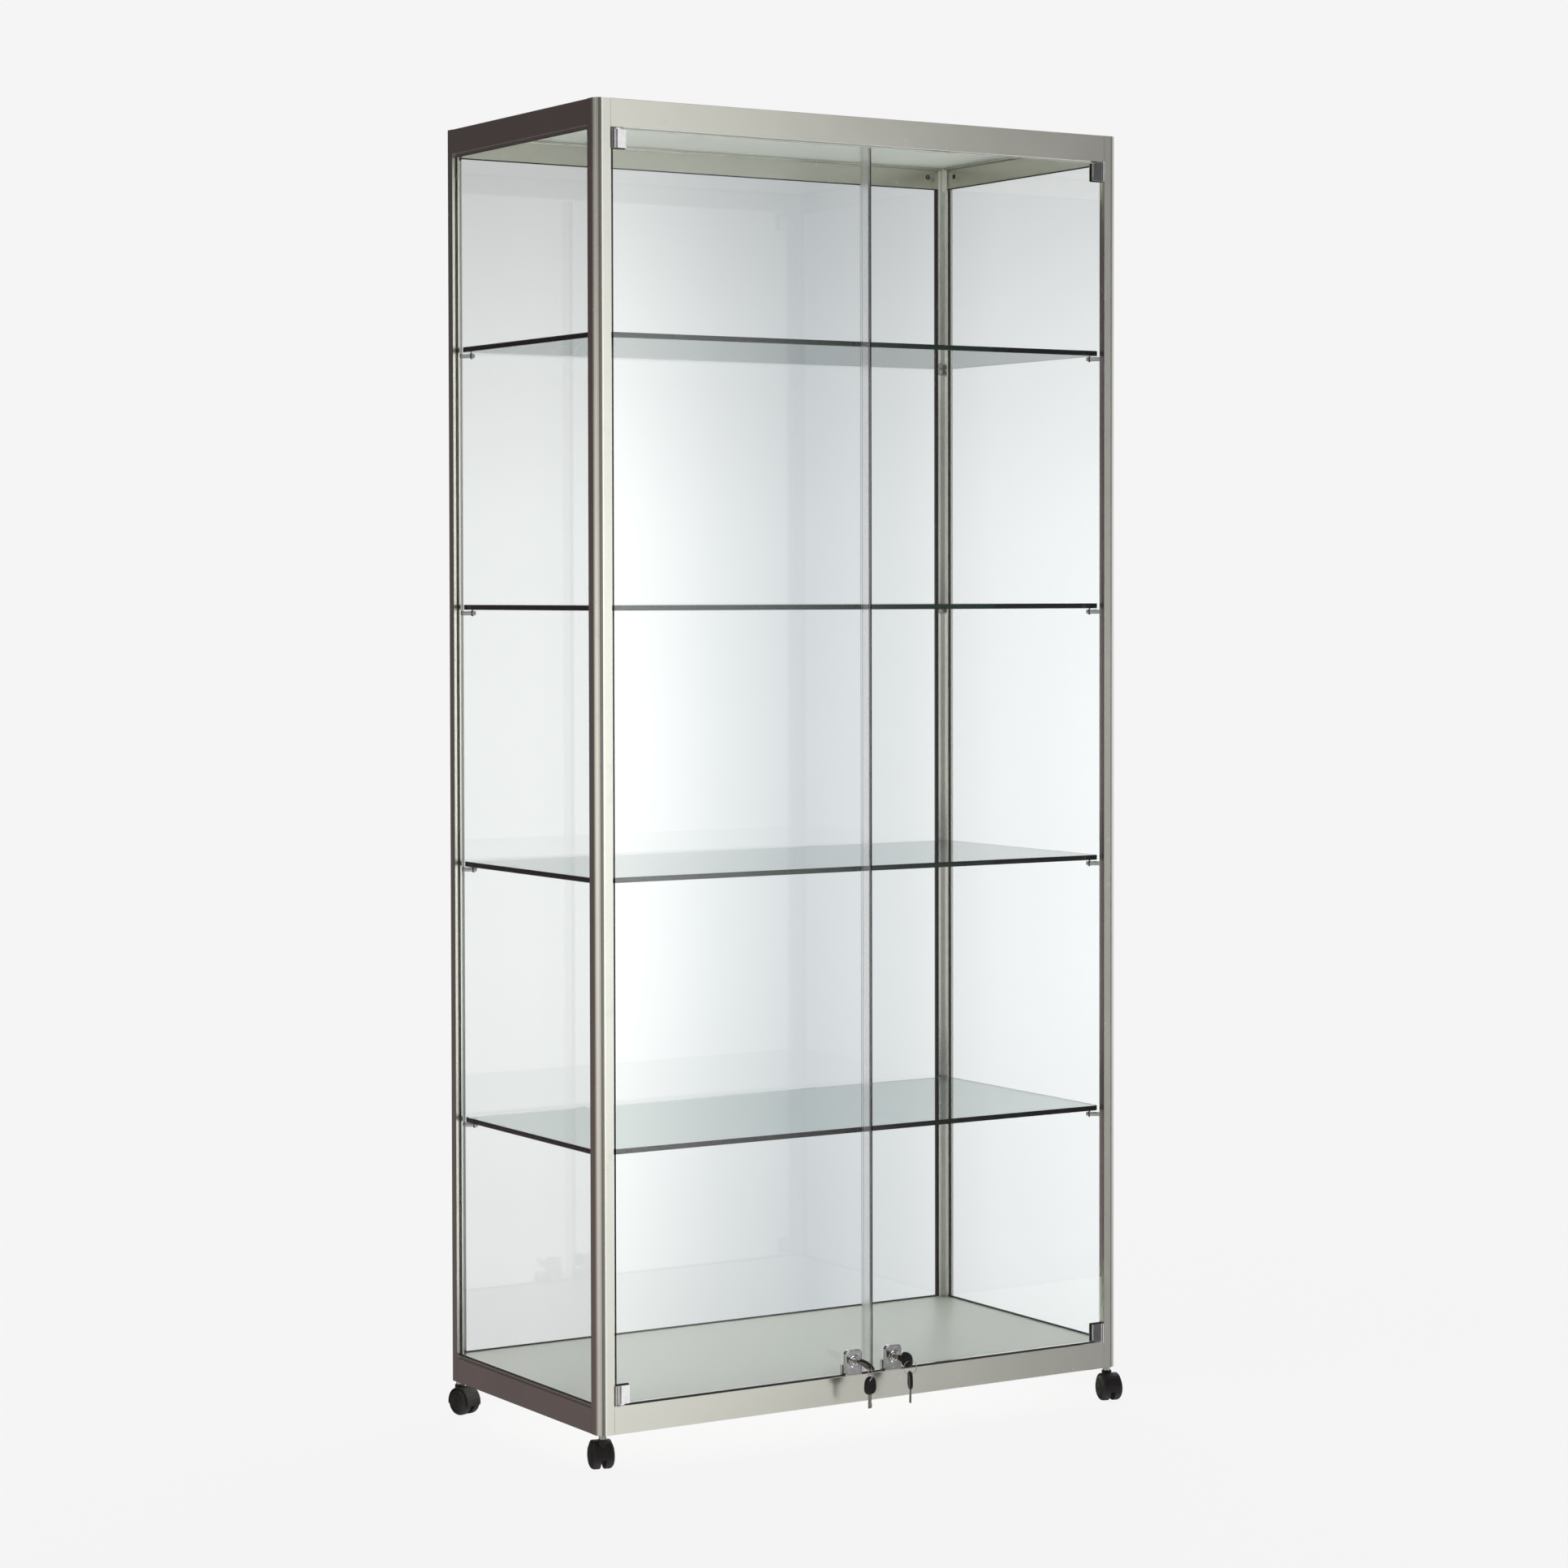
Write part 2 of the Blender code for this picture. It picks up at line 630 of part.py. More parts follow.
def clamp_outline():
    """Plan of the right-hand clamp: barrel, groove and face in front, wrapped round the glass edge."""
    inner = PIVOT_X - CLAMP_REACH
    face = FRONT - CLAMP_PROUD
    groove = face + GROOVE_DEPTH
    glass_edge = WIDTH / 2 - POST - DOOR_SIDE_GAP + GAP
    web = PIVOT_X + BARREL_RADIUS - GAP
    slot_front = GLASS_FRONT - GAP
    slot_rear = GLASS_FRONT + PANE + GAP
    meets_groove = 180 - math.degrees(math.asin((groove - PIVOT_Y) / BARREL_RADIUS))
    face_end = PIVOT_X - BARREL_RADIUS - GROOVE
    points = [(inner, face), (face_end, face), (face_end, groove)]
    points += arc((PIVOT_X, PIVOT_Y), BARREL_RADIUS, meets_groove, 360, 12)
    points += [
        (web, PIVOT_Y + GAP),
        (web, slot_rear + CLAMP_BACK),
        (inner, slot_rear + CLAMP_BACK),
        (inner, slot_rear),
        (glass_edge, slot_rear),
        (glass_edge, slot_front),
        (inner, slot_front),
    ]
    return points


def build_hinge_clamp(side, top):
    """Chrome clamp on the door's outer corner, with a barrel that the pin turns in."""
    low, high = clamp_span(top)
    clamp = prism([(side * x, y) for x, y in clamp_outline()], low, high)
    finish(bevel(clamp, HINGE_EDGE_BREAK, 60), hinge_name("clamp", side, top), "chrome")
    depth = PIN_LENGTH + 1 * MM
    bore = (high - depth, high + OVERCUT) if top else (low - OVERCUT, low + depth)
    return cut(clamp, rod(PIN_RADIUS + GAP, *bore, steps=12, centre=(side * PIVOT_X, PIVOT_Y)))


def build_hinge_bracket(side, top):
    """Arm on the rail with a round nose, and the pin that the clamp turns on."""
    low, high = clamp_span(top)
    sign = 1 if top else -1
    clamp_end = high if top else low
    rail_face = HEAD_RAIL if top else RAIL_TOP
    arm_z = sorted((clamp_end + sign * ARM_CLEARANCE, rail_face - sign * GAP))
    outer = PIVOT_X + BARREL_RADIUS
    nose = arc((PIVOT_X, PIVOT_Y), BARREL_RADIUS, 180, 360, 10)
    outline = nose + [
        (outer, FRONT + ARM_DEPTH),
        (outer - ARM_LENGTH, FRONT + ARM_DEPTH),
        (outer - ARM_LENGTH, FRONT + ARM_SETBACK),
        (PIVOT_X - BARREL_RADIUS, FRONT + ARM_SETBACK),
    ]
    arm = prism([(side * x, y) for x, y in outline], *arm_z)
    finish(arm, hinge_name("bracket", side, top), "chrome")
    pin_z = sorted((clamp_end - sign * PIN_LENGTH, (arm_z[0] + arm_z[1]) / 2))
    return join(arm, rod(PIN_RADIUS, *pin_z, steps=12, centre=(side * PIVOT_X, PIVOT_Y)))


def build_seal():
    """Clear U-shaped strip on the left door's free edge."""
    edge = MEETING_X - DOOR_MEETING_GAP / 2
    front = GLASS_FRONT - GAP - SEAL_WALL
    rear = GLASS_FRONT + PANE + GAP + SEAL_WALL
    web = edge + GAP + SEAL_WALL
    outline = [
        (edge - SEAL_WIDTH, front),
        (web, front),
        (web, rear),
        (edge - SEAL_WIDTH, rear),
        (edge - SEAL_WIDTH, rear - SEAL_WALL),
        (edge + GAP, rear - SEAL_WALL),
        (edge + GAP, front + SEAL_WALL),
        (edge - SEAL_WIDTH, front + SEAL_WALL),
    ]
    return finish(prism(outline, DOOR_BOTTOM, DOOR_TOP), "door_seal", "clear_seal")


def build_door(side):
    """One door with everything that swings on its hinges."""
    name = SIDES[side]
    axis = axis_empty(f"{name}_door_axis", (side * PIVOT_X, PIVOT_Y, DOOR_BOTTOM))
    glass = prism(door_outline(side), GLASS_FRONT, GLASS_FRONT + PANE, "Y")
    hang(finish(glass, f"door_glass_{name}", "glass"), axis)
    for top in (True, False):
        hang(build_hinge_clamp(side, top), axis)
        build_hinge_bracket(side, top)
    if side < 0:
        hang(build_seal(), axis)
    build_lock(side, axis)


# ---------------------------------------------------------------- locks and keys

def build_lock_body(side):
    """Chrome housing in front of the glass, a strap under it and a lip that holds the bolt behind."""
    x = lock_x(side)
    half = LOCK_WIDTH / 2
    bottom = DOOR_BOTTOM - GAP - LOCK_WEB
    top = bottom + LOCK_HEIGHT
    outline = [(x - half, bottom), (x + half, bottom)]
    outline += arc((x + half - LOCK_CORNER, top - LOCK_CORNER), LOCK_CORNER, 0, 90, 6)
    outline += arc((x - half + LOCK_CORNER, top - LOCK_CORNER), LOCK_CORNER, 90, 180, 6)
    body = prism(outline, LOCK_FACE, LOCK_FACE + LOCK_DEPTH, "Y")
    finish(bevel(body, LOCK_EDGE_BREAK), f"lock_body_{SIDES[side]}", "chrome")
    lip = GLASS_FRONT + PANE + GAP
    strap = LOCK_FACE + STRAP_START
    section = [
        (strap, bottom),
        (lip + LOCK_LIP_DEPTH, bottom),
        (lip + LOCK_LIP_DEPTH, bottom + LOCK_LIP_HEIGHT),
        (lip, bottom + LOCK_LIP_HEIGHT),
        (lip, bottom + LOCK_WEB),
        (strap, bottom + LOCK_WEB),
    ]
    join(body, prism(section, x - half + STRAP_INSET, x + half - STRAP_INSET, "X"))
    plug_end = LOCK_FACE + LOCK_DEPTH - PLUG_BACK_WALL
    cut(body, rod(PLUG_RADIUS + GAP, LOCK_FACE - OVERCUT, plug_end, 20, "Y", (x, PLUG_Z)))
    bolt_top = bottom + 2 * BOLT_CLEARANCE + BOLT_LENGTH
    return cut(body, rod(BOLT_RADIUS + GAP, bottom - OVERCUT, bolt_top, 12, "Z", (x, BOLT_Y)))


def bow_points(steps=20):
    """Rounded outline of a key's bow, centred, with its length along the first coordinate."""
    power = 0.8
    points = []
    for i in range(steps):
        angle = 2 * math.pi * i / steps
        c = math.cos(angle)
        s = math.sin(angle)
        points.append((
            BOW_LENGTH / 2 * math.copysign(abs(c) ** power, c),
            BOW_WIDTH / 2 * math.copysign(abs(s) ** power, s),
        ))
    return points


def build_key(side):
    """Lock plug with its key in it, both turning together about the plug's axis."""
    x = lock_x(side)
    plug_front = LOCK_FACE - PLUG_PROUD
    plug_rear = LOCK_FACE + LOCK_DEPTH - PLUG_BACK_WALL - GAP
    key = turned(
        [
            (0, -plug_front),
            (PLUG_RADIUS - 0.8 * MM, -plug_front),
            (PLUG_RADIUS, -plug_front - 0.8 * MM),
            (PLUG_RADIUS, -plug_rear),
            (0, -plug_rear),
        ],
        20,
        "Y",
    )
    finish(key, f"lock_key_{SIDES[side]}", "black_plastic")
    blade = rectangle(BOW_BACK - 3 * MM, -BLADE_WIDTH / 2, plug_front + 2 * MM, BLADE_WIDTH / 2)
    join(key, prism(blade, -BLADE_THICKNESS / 2, BLADE_THICKNESS / 2, "X"))
    bow = [(BOW_BACK - BOW_LENGTH / 2 - a, b) for a, b in bow_points()]
    join(key, prism(bow, -BOW_THICKNESS / 2, BOW_THICKNESS / 2, "X"))
    cut(key, rod(BOW_HOLE_RADIUS, -BOW_THICKNESS, BOW_THICKNESS, 12, "X", (RING_HOLE_Y, 0)))
    for part in [key] + [modifier.object for modifier in key.modifiers]:
        part.data.transform(Matrix.Rotation(KEY_TURN_AT_REST[side], 4, "Y"))
        part.location = (x, 0, PLUG_Z)
    return key


def build_spare_key(side):
    """Spare key that hangs from the used key's ring, with its bow up and its blade down."""
    top = -KEY_RING_DROP + BOW_HOLE_FROM_END
    bow = [(b, top - BOW_LENGTH / 2 - a) for a, b in bow_points()]
    spare = prism(bow, -BOW_THICKNESS / 2, BOW_THICKNESS / 2, "Y")
    finish(spare, f"spare_key_{SIDES[side]}", "black_plastic")
    bow_end = top - BOW_LENGTH
    tip = bow_end - SPARE_BLADE_LENGTH
    half = BLADE_WIDTH / 2
    blade = [
        (-half, bow_end + 4 * MM),
        (-half, tip + 3 * MM),
        (-half / 3, tip),
        (half / 2, tip),
        (half, tip + 4 * MM),
        (half, bow_end + 4 * MM),
    ]
    join(spare, prism(blade, -BLADE_THICKNESS / 2, BLADE_THICKNESS / 2, "Y"))
    cut(spare, rod(BOW_HOLE_RADIUS, -BOW_THICKNESS, BOW_THICKNESS, 12, "Y", (0, -KEY_RING_DROP)))
    for part in [spare] + [modifier.object for modifier in spare.modifiers]:
        part.data.transform(Matrix.Rotation(SPARE_TWIST[side], 4, "Z"))
        part.location = (lock_x(side), RING_HOLE_Y, PLUG_Z)
    return spare


def build_bolt(side):
    """Round bolt, drawn up inside the lock; turning the key drops it into the rail."""
    bottom = DOOR_BOTTOM - GAP - LOCK_WEB + BOLT_CLEARANCE
    shape = turned(
        [
            (0, bottom + BOLT_LENGTH),
            (BOLT_RADIUS, bottom + BOLT_LENGTH),
            (BOLT_RADIUS, bottom + 0.8 * MM),
            (BOLT_RADIUS - 0.8 * MM, bottom),
            (0, bottom),
        ],
        12,
        place=(lock_x(side), BOLT_Y, 0),
    )
    return finish(shape, f"lock_bolt_{SIDES[side]}", "steel")


def build_lock(side, door_axis):
    name = SIDES[side]
    x = lock_x(side)
    hang(build_lock_body(side), door_axis)
    hang(build_bolt(side), door_axis)
    key_axis = hang(axis_empty(f"{name}_key_axis", (x, LOCK_FACE, PLUG_Z)), door_axis)
    hang(build_key(side), key_axis)
    spare_axis = hang(axis_empty(f"{name}_spare_axis", (x, RING_HOLE_Y, PLUG_Z)), door_axis)
    hang(build_spare_key(side), spare_axis)


# ---------------------------------------------------------------- castors

def build_stem(corner):
    """Fixed stem: a rod in the post, a collar under it and the pin that the hood swivels on."""
    x, y = corner_xy(corner, STEM_INSET, STEM_INSET)
    collar_top = FRAME_BOTTOM - GAP
    collar_bottom = HOOD_TOP + STEM_CLEARANCE
    shape = turned(
        [
            (0, FRAME_BOTTOM + STEM_ROD_HEIGHT),
            (STEM_ROD_RADIUS, FRAME_BOTTOM + STEM_ROD_HEIGHT),
            (STEM_ROD_RADIUS, collar_top),
            (STEM_RADIUS, collar_top),
            (STEM_RADIUS, collar_bottom),
            (SWIVEL_PIN_RADIUS, collar_bottom),
            (SWIVEL_PIN_RADIUS, HOOD_TOP - SWIVEL_PIN_LENGTH),
            (0, HOOD_TOP - SWIVEL_PIN_LENGTH),
        ],
        16,
        place=(x, y, 0),
    )
    return finish(shape, f"castor_stem_{corner_name(corner)}", "steel")


def hood_shape():
    """Round hood about the axle, cut off level below it, with the swivel boss on top."""
    half = HOOD_WIDTH / 2
    rim = HOOD_RADIUS - HOOD_CHAMFER
    straight = half - HOOD_CHAMFER
    upper = [(0, half), (rim, half), (HOOD_RADIUS, straight)]
    profile = upper + [(radius, -place) for radius, place in reversed(upper)]
    hood = turned(profile, 24, "Y", (0, 0, WHEEL_RADIUS))
    reach = HOOD_RADIUS + OVERCUT
    skirt = WHEEL_RADIUS - SKIRT_DROP
    cut(hood, block((-reach, -half - OVERCUT, WHEEL_RADIUS - reach), (reach, half + OVERCUT, skirt)))
    join(hood, rod(BOSS_RADIUS, WHEEL_RADIUS + BOSS_START, HOOD_TOP, 12, "Z", (TRAIL, 0)))
    join(hood, rod(HUB_RADIUS, -WEB_THICKNESS / 2, WEB_THICKNESS / 2, 12, "Y", (0, WHEEL_RADIUS)))
    for sign in (-1, 1):
        ends = sorted((sign * WEB_THICKNESS / 2, sign * (half + OVERCUT)))
        cut(hood, rod(HOOD_RADIUS - HOOD_WALL, *ends, 24, "Y", (0, WHEEL_RADIUS)))
    join(hood, rod(AXLE_RADIUS, AXLE_END - half, half - AXLE_END, 8, "Y", (0, WHEEL_RADIUS)))
    socket_end = HOOD_TOP - SWIVEL_PIN_LENGTH - STEM_CLEARANCE
    return cut(hood, rod(SWIVEL_PIN_RADIUS + GAP, socket_end, HOOD_TOP + OVERCUT, 12, "Z", (TRAIL, 0)))


def build_castor(corner):
    """Twin-wheel castor: the hood carries the axle and swivels on the stem, and trails behind it."""
    name = corner_name(corner)
    x, y = corner_xy(corner, STEM_INSET, STEM_INSET)
    swivel = axis_empty(f"castor_{name}_swivel", (x, y, 0))
    hood = finish(hood_shape(), f"castor_hood_{name}", "black_plastic")
    heading = math.radians(CASTOR_HEADING[corner])
    axle_place = Vector((x + TRAIL * math.cos(heading), y + TRAIL * math.sin(heading), 0))
    place = Matrix.Translation(axle_place) @ Matrix.Rotation(heading + math.pi, 4, "Z")
    for part in [hood] + [modifier.object for modifier in hood.modifiers if modifier.type == "BOOLEAN"]:
        part.data.transform(place)
    hang(hood, swivel)
    axle = hang(axis_empty(f"castor_{name}_axle", axle_place + Vector((0, 0, WHEEL_RADIUS))), swivel)
    for sign, label in ((-1, "a"), (1, "b")):
        wheel = wheel_shape(sign, WEB_THICKNESS / 2 + STEM_CLEARANCE)
        wheel.data.transform(place)
        finish(wheel, f"castor_wheel_{name}_{label}", "black_plastic")
        hang(wheel, axle)


def wheel_shape(sign, inner):
    """One wheel beside the hood's web, with a flat tread and a domed outer side."""
    profile = [
        (WHEEL_BORE, -sign * inner),
        (WHEEL_RADIUS - INNER_CHAMFER, -sign * inner),
        (WHEEL_RADIUS, -sign * (inner + INNER_CHAMFER)),
    ]
    for inside, beyond in WHEEL_DOME:
        profile.append((WHEEL_RADIUS - inside * MM, -sign * (inner + beyond * MM)))
    profile.append((WHEEL_BORE, profile[-1][1]))
    profile.append(profile[0])
    return turned(profile, 24, "Y", (0, 0, WHEEL_RADIUS))


# ---------------------------------------------------------------- assembly

for frame_corner in CORNERS:
    build_post(frame_corner)
build_rails()
build_panels()
build_panes()
build_shelves()
for frame_corner in CORNERS:
    build_peg_strip(frame_corner)
    build_stem(frame_corner)
    build_castor(frame_corner)
for door_side in SIDES:
    build_door(door_side)
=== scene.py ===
"""Looks of the glass display showcase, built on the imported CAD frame.

Metres, +Z is up and the front faces -Y. Every piece is made where it stands at rest, and rides on its CAD
body. CAD nodes whose shape is right keep it and get a material here. Lock cases, plugs, keys and wheels
are replaced by more detailed pieces.
"""

import json
import math

import bmesh
import bpy
from mathutils import Matrix, Vector


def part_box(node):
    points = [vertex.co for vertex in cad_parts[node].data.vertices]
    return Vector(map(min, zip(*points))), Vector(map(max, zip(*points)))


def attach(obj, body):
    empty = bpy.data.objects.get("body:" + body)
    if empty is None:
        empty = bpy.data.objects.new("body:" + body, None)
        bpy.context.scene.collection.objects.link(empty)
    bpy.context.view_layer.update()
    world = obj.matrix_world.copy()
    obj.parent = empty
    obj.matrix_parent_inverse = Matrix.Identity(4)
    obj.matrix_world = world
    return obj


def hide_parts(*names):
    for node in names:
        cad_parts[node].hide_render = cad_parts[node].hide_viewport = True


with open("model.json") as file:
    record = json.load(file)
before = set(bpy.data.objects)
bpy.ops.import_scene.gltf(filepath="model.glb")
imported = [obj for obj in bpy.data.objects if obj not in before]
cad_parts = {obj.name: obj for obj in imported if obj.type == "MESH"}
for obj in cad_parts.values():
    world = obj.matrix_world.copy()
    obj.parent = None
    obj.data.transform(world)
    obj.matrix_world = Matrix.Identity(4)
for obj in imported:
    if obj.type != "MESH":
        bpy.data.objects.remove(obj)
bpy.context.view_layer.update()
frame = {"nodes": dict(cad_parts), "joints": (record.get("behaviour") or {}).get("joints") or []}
NODES = frame["nodes"]
JOINTS = {joint["name"]: joint for joint in frame["joints"]}
MM = 0.001
SIDES = ("left", "right")
CORNERS = ("front_left", "front_right", "rear_left", "rear_right")
SHARP = math.radians(40)                    # edges sharper than this are creases

# ---------------------------------------------------------------- camera

CAMERA_PLACE = (-3.0062, -4.7912, 1.2304)
CAMERA_YAW = 0.55752                        # from +Y towards +X
CAMERA_PITCH = -0.02613
CAMERA_ROLL = -0.00191
CAMERA_LENS = 86.765
CAMERA_SENSOR = 36
CAMERA_SHIFT = -0.06


def add_camera():
    """Camera at the photograph's angle, with its slight roll."""
    data = bpy.data.cameras.new("camera")
    data.lens = CAMERA_LENS
    data.sensor_width = CAMERA_SENSOR
    data.shift_y = CAMERA_SHIFT
    camera = bpy.data.objects.new("camera", data)
    turn = Matrix.Rotation(-CAMERA_YAW, 4, "Z")
    turn = turn @ Matrix.Rotation(math.pi / 2 + CAMERA_PITCH, 4, "X")
    turn = turn @ Matrix.Rotation(CAMERA_ROLL, 4, "Z")
    camera.matrix_world = Matrix.Translation(CAMERA_PLACE) @ turn
    bpy.context.scene.collection.objects.link(camera)
    bpy.context.scene.camera = camera


# ---------------------------------------------------------------- shader helpers

MIX_FIRST = 6                       # sockets of a Mix node that is set to colours
MIX_SECOND = 7
MIX_RESULT = 2
TINT_START = 0.3                    # share of a noise where a tint starts and ends
TINT_END = 0.7


def node(tree, kind, inputs=None, **settings):
    """A shader node; inputs are set or linked by socket name or number, settings are its attributes."""
    made = tree.nodes.new(kind)
    for key, value in settings.items():
        setattr(made, key, value)
    for key, value in (inputs or {}).items():
        if isinstance(value, bpy.types.NodeSocket):
            tree.links.new(value, made.inputs[key])
        else:
            made.inputs[key].default_value = value
    return made


def ramp(tree, fac, stops):
    """A colour ramp through (place, colour) stops."""
    made = node(tree, "ShaderNodeValToRGB", {"Fac": fac})
    elements = made.color_ramp.elements
    while len(elements) < len(stops):
        elements.new(0.5)
    for element, (place, colour) in zip(elements, stops):
        element.position = place
        element.color = (*colour, 1)
    return made.outputs["Color"]


def grey(value):
    """A neutral colour."""
    return (value, value, value)


def span(tree, value, low, high, start=0.0, end=1.0):
    """Maps a value from start..end to low..high."""
    made = node(tree, "ShaderNodeMapRange", {
        "Value": value, "From Min": start, "From Max": end, "To Min": low, "To Max": high,
    })
    return made.outputs["Result"]


def object_place(tree, stretch=(1, 1, 1)):
    """Coordinates that stay with the piece, stretched along its axes."""
    place = node(tree, "ShaderNodeTexCoord").outputs["Object"]
    return node(tree, "ShaderNodeMapping", {"Vector": place, "Scale": stretch}).outputs["Vector"]


def noise(tree, scale, detail=3.0, roughness=0.55, stretch=(1, 1, 1)):
    """Noise between 0 and 1, with its scale per metre of the piece."""
    return node(tree, "ShaderNodeTexNoise", {
        "Vector": object_place(tree, stretch), "Scale": scale, "Detail": detail, "Roughness": roughness,
    }).outputs["Fac"]


def added(tree, first, second, share):
    """first + second x share."""
    inputs = {0: second, 1: share, 2: first}
    return node(tree, "ShaderNodeMath", inputs, operation="MULTIPLY_ADD").outputs[0]


def product(tree, first, second):
    """first x second."""
    return node(tree, "ShaderNodeMath", {0: first, 1: second}, operation="MULTIPLY").outputs[0]


def larger(tree, first, second):
    """The larger of two values."""
    return node(tree, "ShaderNodeMath", {0: first, 1: second}, operation="MAXIMUM").outputs[0]


def blended(tree, fac, first, second, blend="MIX"):
    """Mixes two colours."""
    made = node(tree, "ShaderNodeMix", {0: fac}, data_type="RGBA", blend_type=blend)
    tree.links.new(first, made.inputs[MIX_FIRST])
    tree.links.new(second, made.inputs[MIX_SECOND])
    return made.outputs[MIX_RESULT]


def tinted(tree, fac, low, high):
    """A colour that drifts from low to high with a noise."""
    return ramp(tree, fac, ((TINT_START, low), (TINT_END, high)))


def surface(name, **inputs):
    """A material with a Principled shader; returns the material, its tree and the shader."""
    material = bpy.data.materials.new(name)
    material.use_nodes = True
    tree = material.node_tree
    shader = tree.nodes["Principled BSDF"]
    for key, value in inputs.items():
        shader.inputs[key.replace("_", " ")].default_value = value
    return material, tree, shader


def feed(tree, shader, **sockets):
    """Links node outputs to the shader's inputs, named with _ for spaces."""
    for key, socket in sockets.items():
        tree.links.new(socket, shader.inputs[key.replace("_", " ")])


def bumped(tree, shader, height, distance, strength):
    """Gives the shader fine relief; the distance is in metres."""
    made = node(tree, "ShaderNodeBump", {"Height": height, "Distance": distance, "Strength": strength})
    tree.links.new(made.outputs["Normal"], shader.inputs["Normal"])


# ---------------------------------------------------------------- studio

BACKGROUND = 0.913
FLOOR_SHADE = 0.06                  # share of the floor that takes shadows
FLOOR_MATT = 0.5                    # grey of that share
FLOOR_GLOW = 0.936                  # with the shaded share, this makes the floor match the background
FLOOR_SIZE = 14.0

# Light round the object at eye level, by degrees from +Y towards +X
STUDIO_ROUND = (
    (-180, (0.42, 0.41, 0.42)),
    (-166, (0.20, 0.19, 0.20)),
    (-154, (0.22, 0.21, 0.22)),
    (-142, (0.95, 0.94, 0.93)),
    (-112, (1.55, 1.50, 1.48)),
    (-86, (1.55, 1.48, 1.44)),
    (-68, (0.95, 0.88, 0.86)),
    (-52, (0.20, 0.16, 0.17)),
    (-34, (0.125, 0.098, 0.105)),
    (-8, (0.11, 0.092, 0.098)),
    (8, (0.60, 0.60, 0.61)),
    (20, (0.98, 0.99, 1.00)),
    (28.2, (1.00, 1.01, 1.01)),
    (29.7, (0.91, 0.925, 0.925)),
    (31.1, (0.765, 0.785, 0.80)),
    (32.4, (0.69, 0.72, 0.75)),
    (33.7, (0.87, 0.89, 0.91)),
    (35.6, (1.16, 1.17, 1.18)),
    (60, (1.60, 1.60, 1.60)),
    (110, (1.60, 1.60, 1.60)),
    (128, (0.22, 0.21, 0.22)),
    (141, (0.11, 0.105, 0.11)),
    (146, (0.24, 0.235, 0.24)),
    (148.2, (0.95, 0.95, 0.95)),
    (150.4, (2.15, 2.15, 2.15)),
    (160, (2.35, 2.35, 2.35)),
    (171, (0.95, 0.95, 0.95)),
    (180, (0.42, 0.41, 0.42)),
)

# How that light rises and falls, by degrees above the horizon
FRONT_UPWARDS = (
    (-90, 2.90), (-50, 2.80), (-30, 1.40), (-14, 0.56), (-9.5, 0.63), (-6, 0.92), (-2, 1.00),
    (1, 0.93), (4, 0.72), (6.5, 0.50), (14, 0.40), (25, 0.36), (45, 0.34), (90, 0.60),
)
LEFT_UPWARDS = (
    (-90, 2.90), (-50, 2.80), (-30, 0.90), (-14, 0.36), (-9.5, 0.40), (-6, 0.68), (-2, 1.00),
    (1, 0.75), (4, 0.20), (6.5, 0.08), (14, 0.12), (25, 0.80), (45, 1.60), (90, 0.60),
)
REAR_LEFT_UPWARDS = (
    (-90, 2.90), (-50, 2.80), (-30, 2.00), (-14, 1.30), (-9.5, 1.12), (-6, 0.88), (-2, 0.78),
    (1, 0.74), (4, 0.54), (6.5, 0.46), (14, 0.50), (25, 1.60), (45, 3.00), (90, 0.60),
)
REAR_UPWARDS = (
    (-90, 2.90), (-50, 2.80), (-30, 1.30), (-14, 0.92), (-9.4, 0.95), (-5.8, 1.00), (-2, 1.00), (1, 0.97),
    (4, 0.84), (6.5, 0.69), (14, 0.85), (22, 3.00), (35, 4.20), (50, 3.20), (65, 1.20), (90, 0.50),
)

# Share that each of the last three takes over, by degrees round the horizon
LEFT_SHARE = (
    (-180, 0.5), (-165, 1.0), (-60, 1.0), (-40, 0.4), (-8, 0.2), (8, 0.0), (165, 0.0), (180, 0.5),
)
REAR_LEFT_SHARE = ((-60, 0.0), (-46, 1.0), (-14, 1.0), (4, 0.0))
REAR_SHARE = ((-10, 0.0), (10, 1.0), (60, 1.0), (80, 0.0))

# Reflections of the rear that look downwards lose this much light
DIM_BELOW = 0.50
BELOW_SHARE = ((-2, 1.0), (1, 0.0))

# Share of the light that matt surfaces get, and that mirror reflections and views through glass get
MATT_SHARE = 1.36
SHARP_UPWARDS = (
    (-90, 0.32), (-25, 0.36), (-14, 0.80), (-10, 1.0), (10, 1.0), (20, 0.60), (30, 0.36), (90, 0.70),
)
SHARP_ROUND = ((36, 1.0), (55, 0.60), (115, 0.60), (128, 1.0))

# Where a straight view through glass meets the plain background, as it does beside the object
PLAIN_ROUND = ((6, 1.0), (15, 0.0), (50, 0.0), (60, 1.0))
PLAIN_UPWARDS = ((-26, 1.0), (-14, 0.0), (14, 0.0), (26, 1.0))


def round_ramp(tree, turn, stops):
    """A ramp whose places are degrees round the horizon."""
    return ramp(tree, turn, [((degrees + 180) / 360, colour) for degrees, colour in stops])


def round_share(tree, turn, stops):
    """A grey ramp whose places are degrees round the horizon."""
    return round_ramp(tree, turn, [(degrees, grey(value)) for degrees, value in stops])


def upward_share(tree, rise, stops):
    """A grey ramp whose places are degrees above the horizon."""
    return ramp(tree, rise, [((degrees + 90) / 180, grey(value)) for degrees, value in stops])


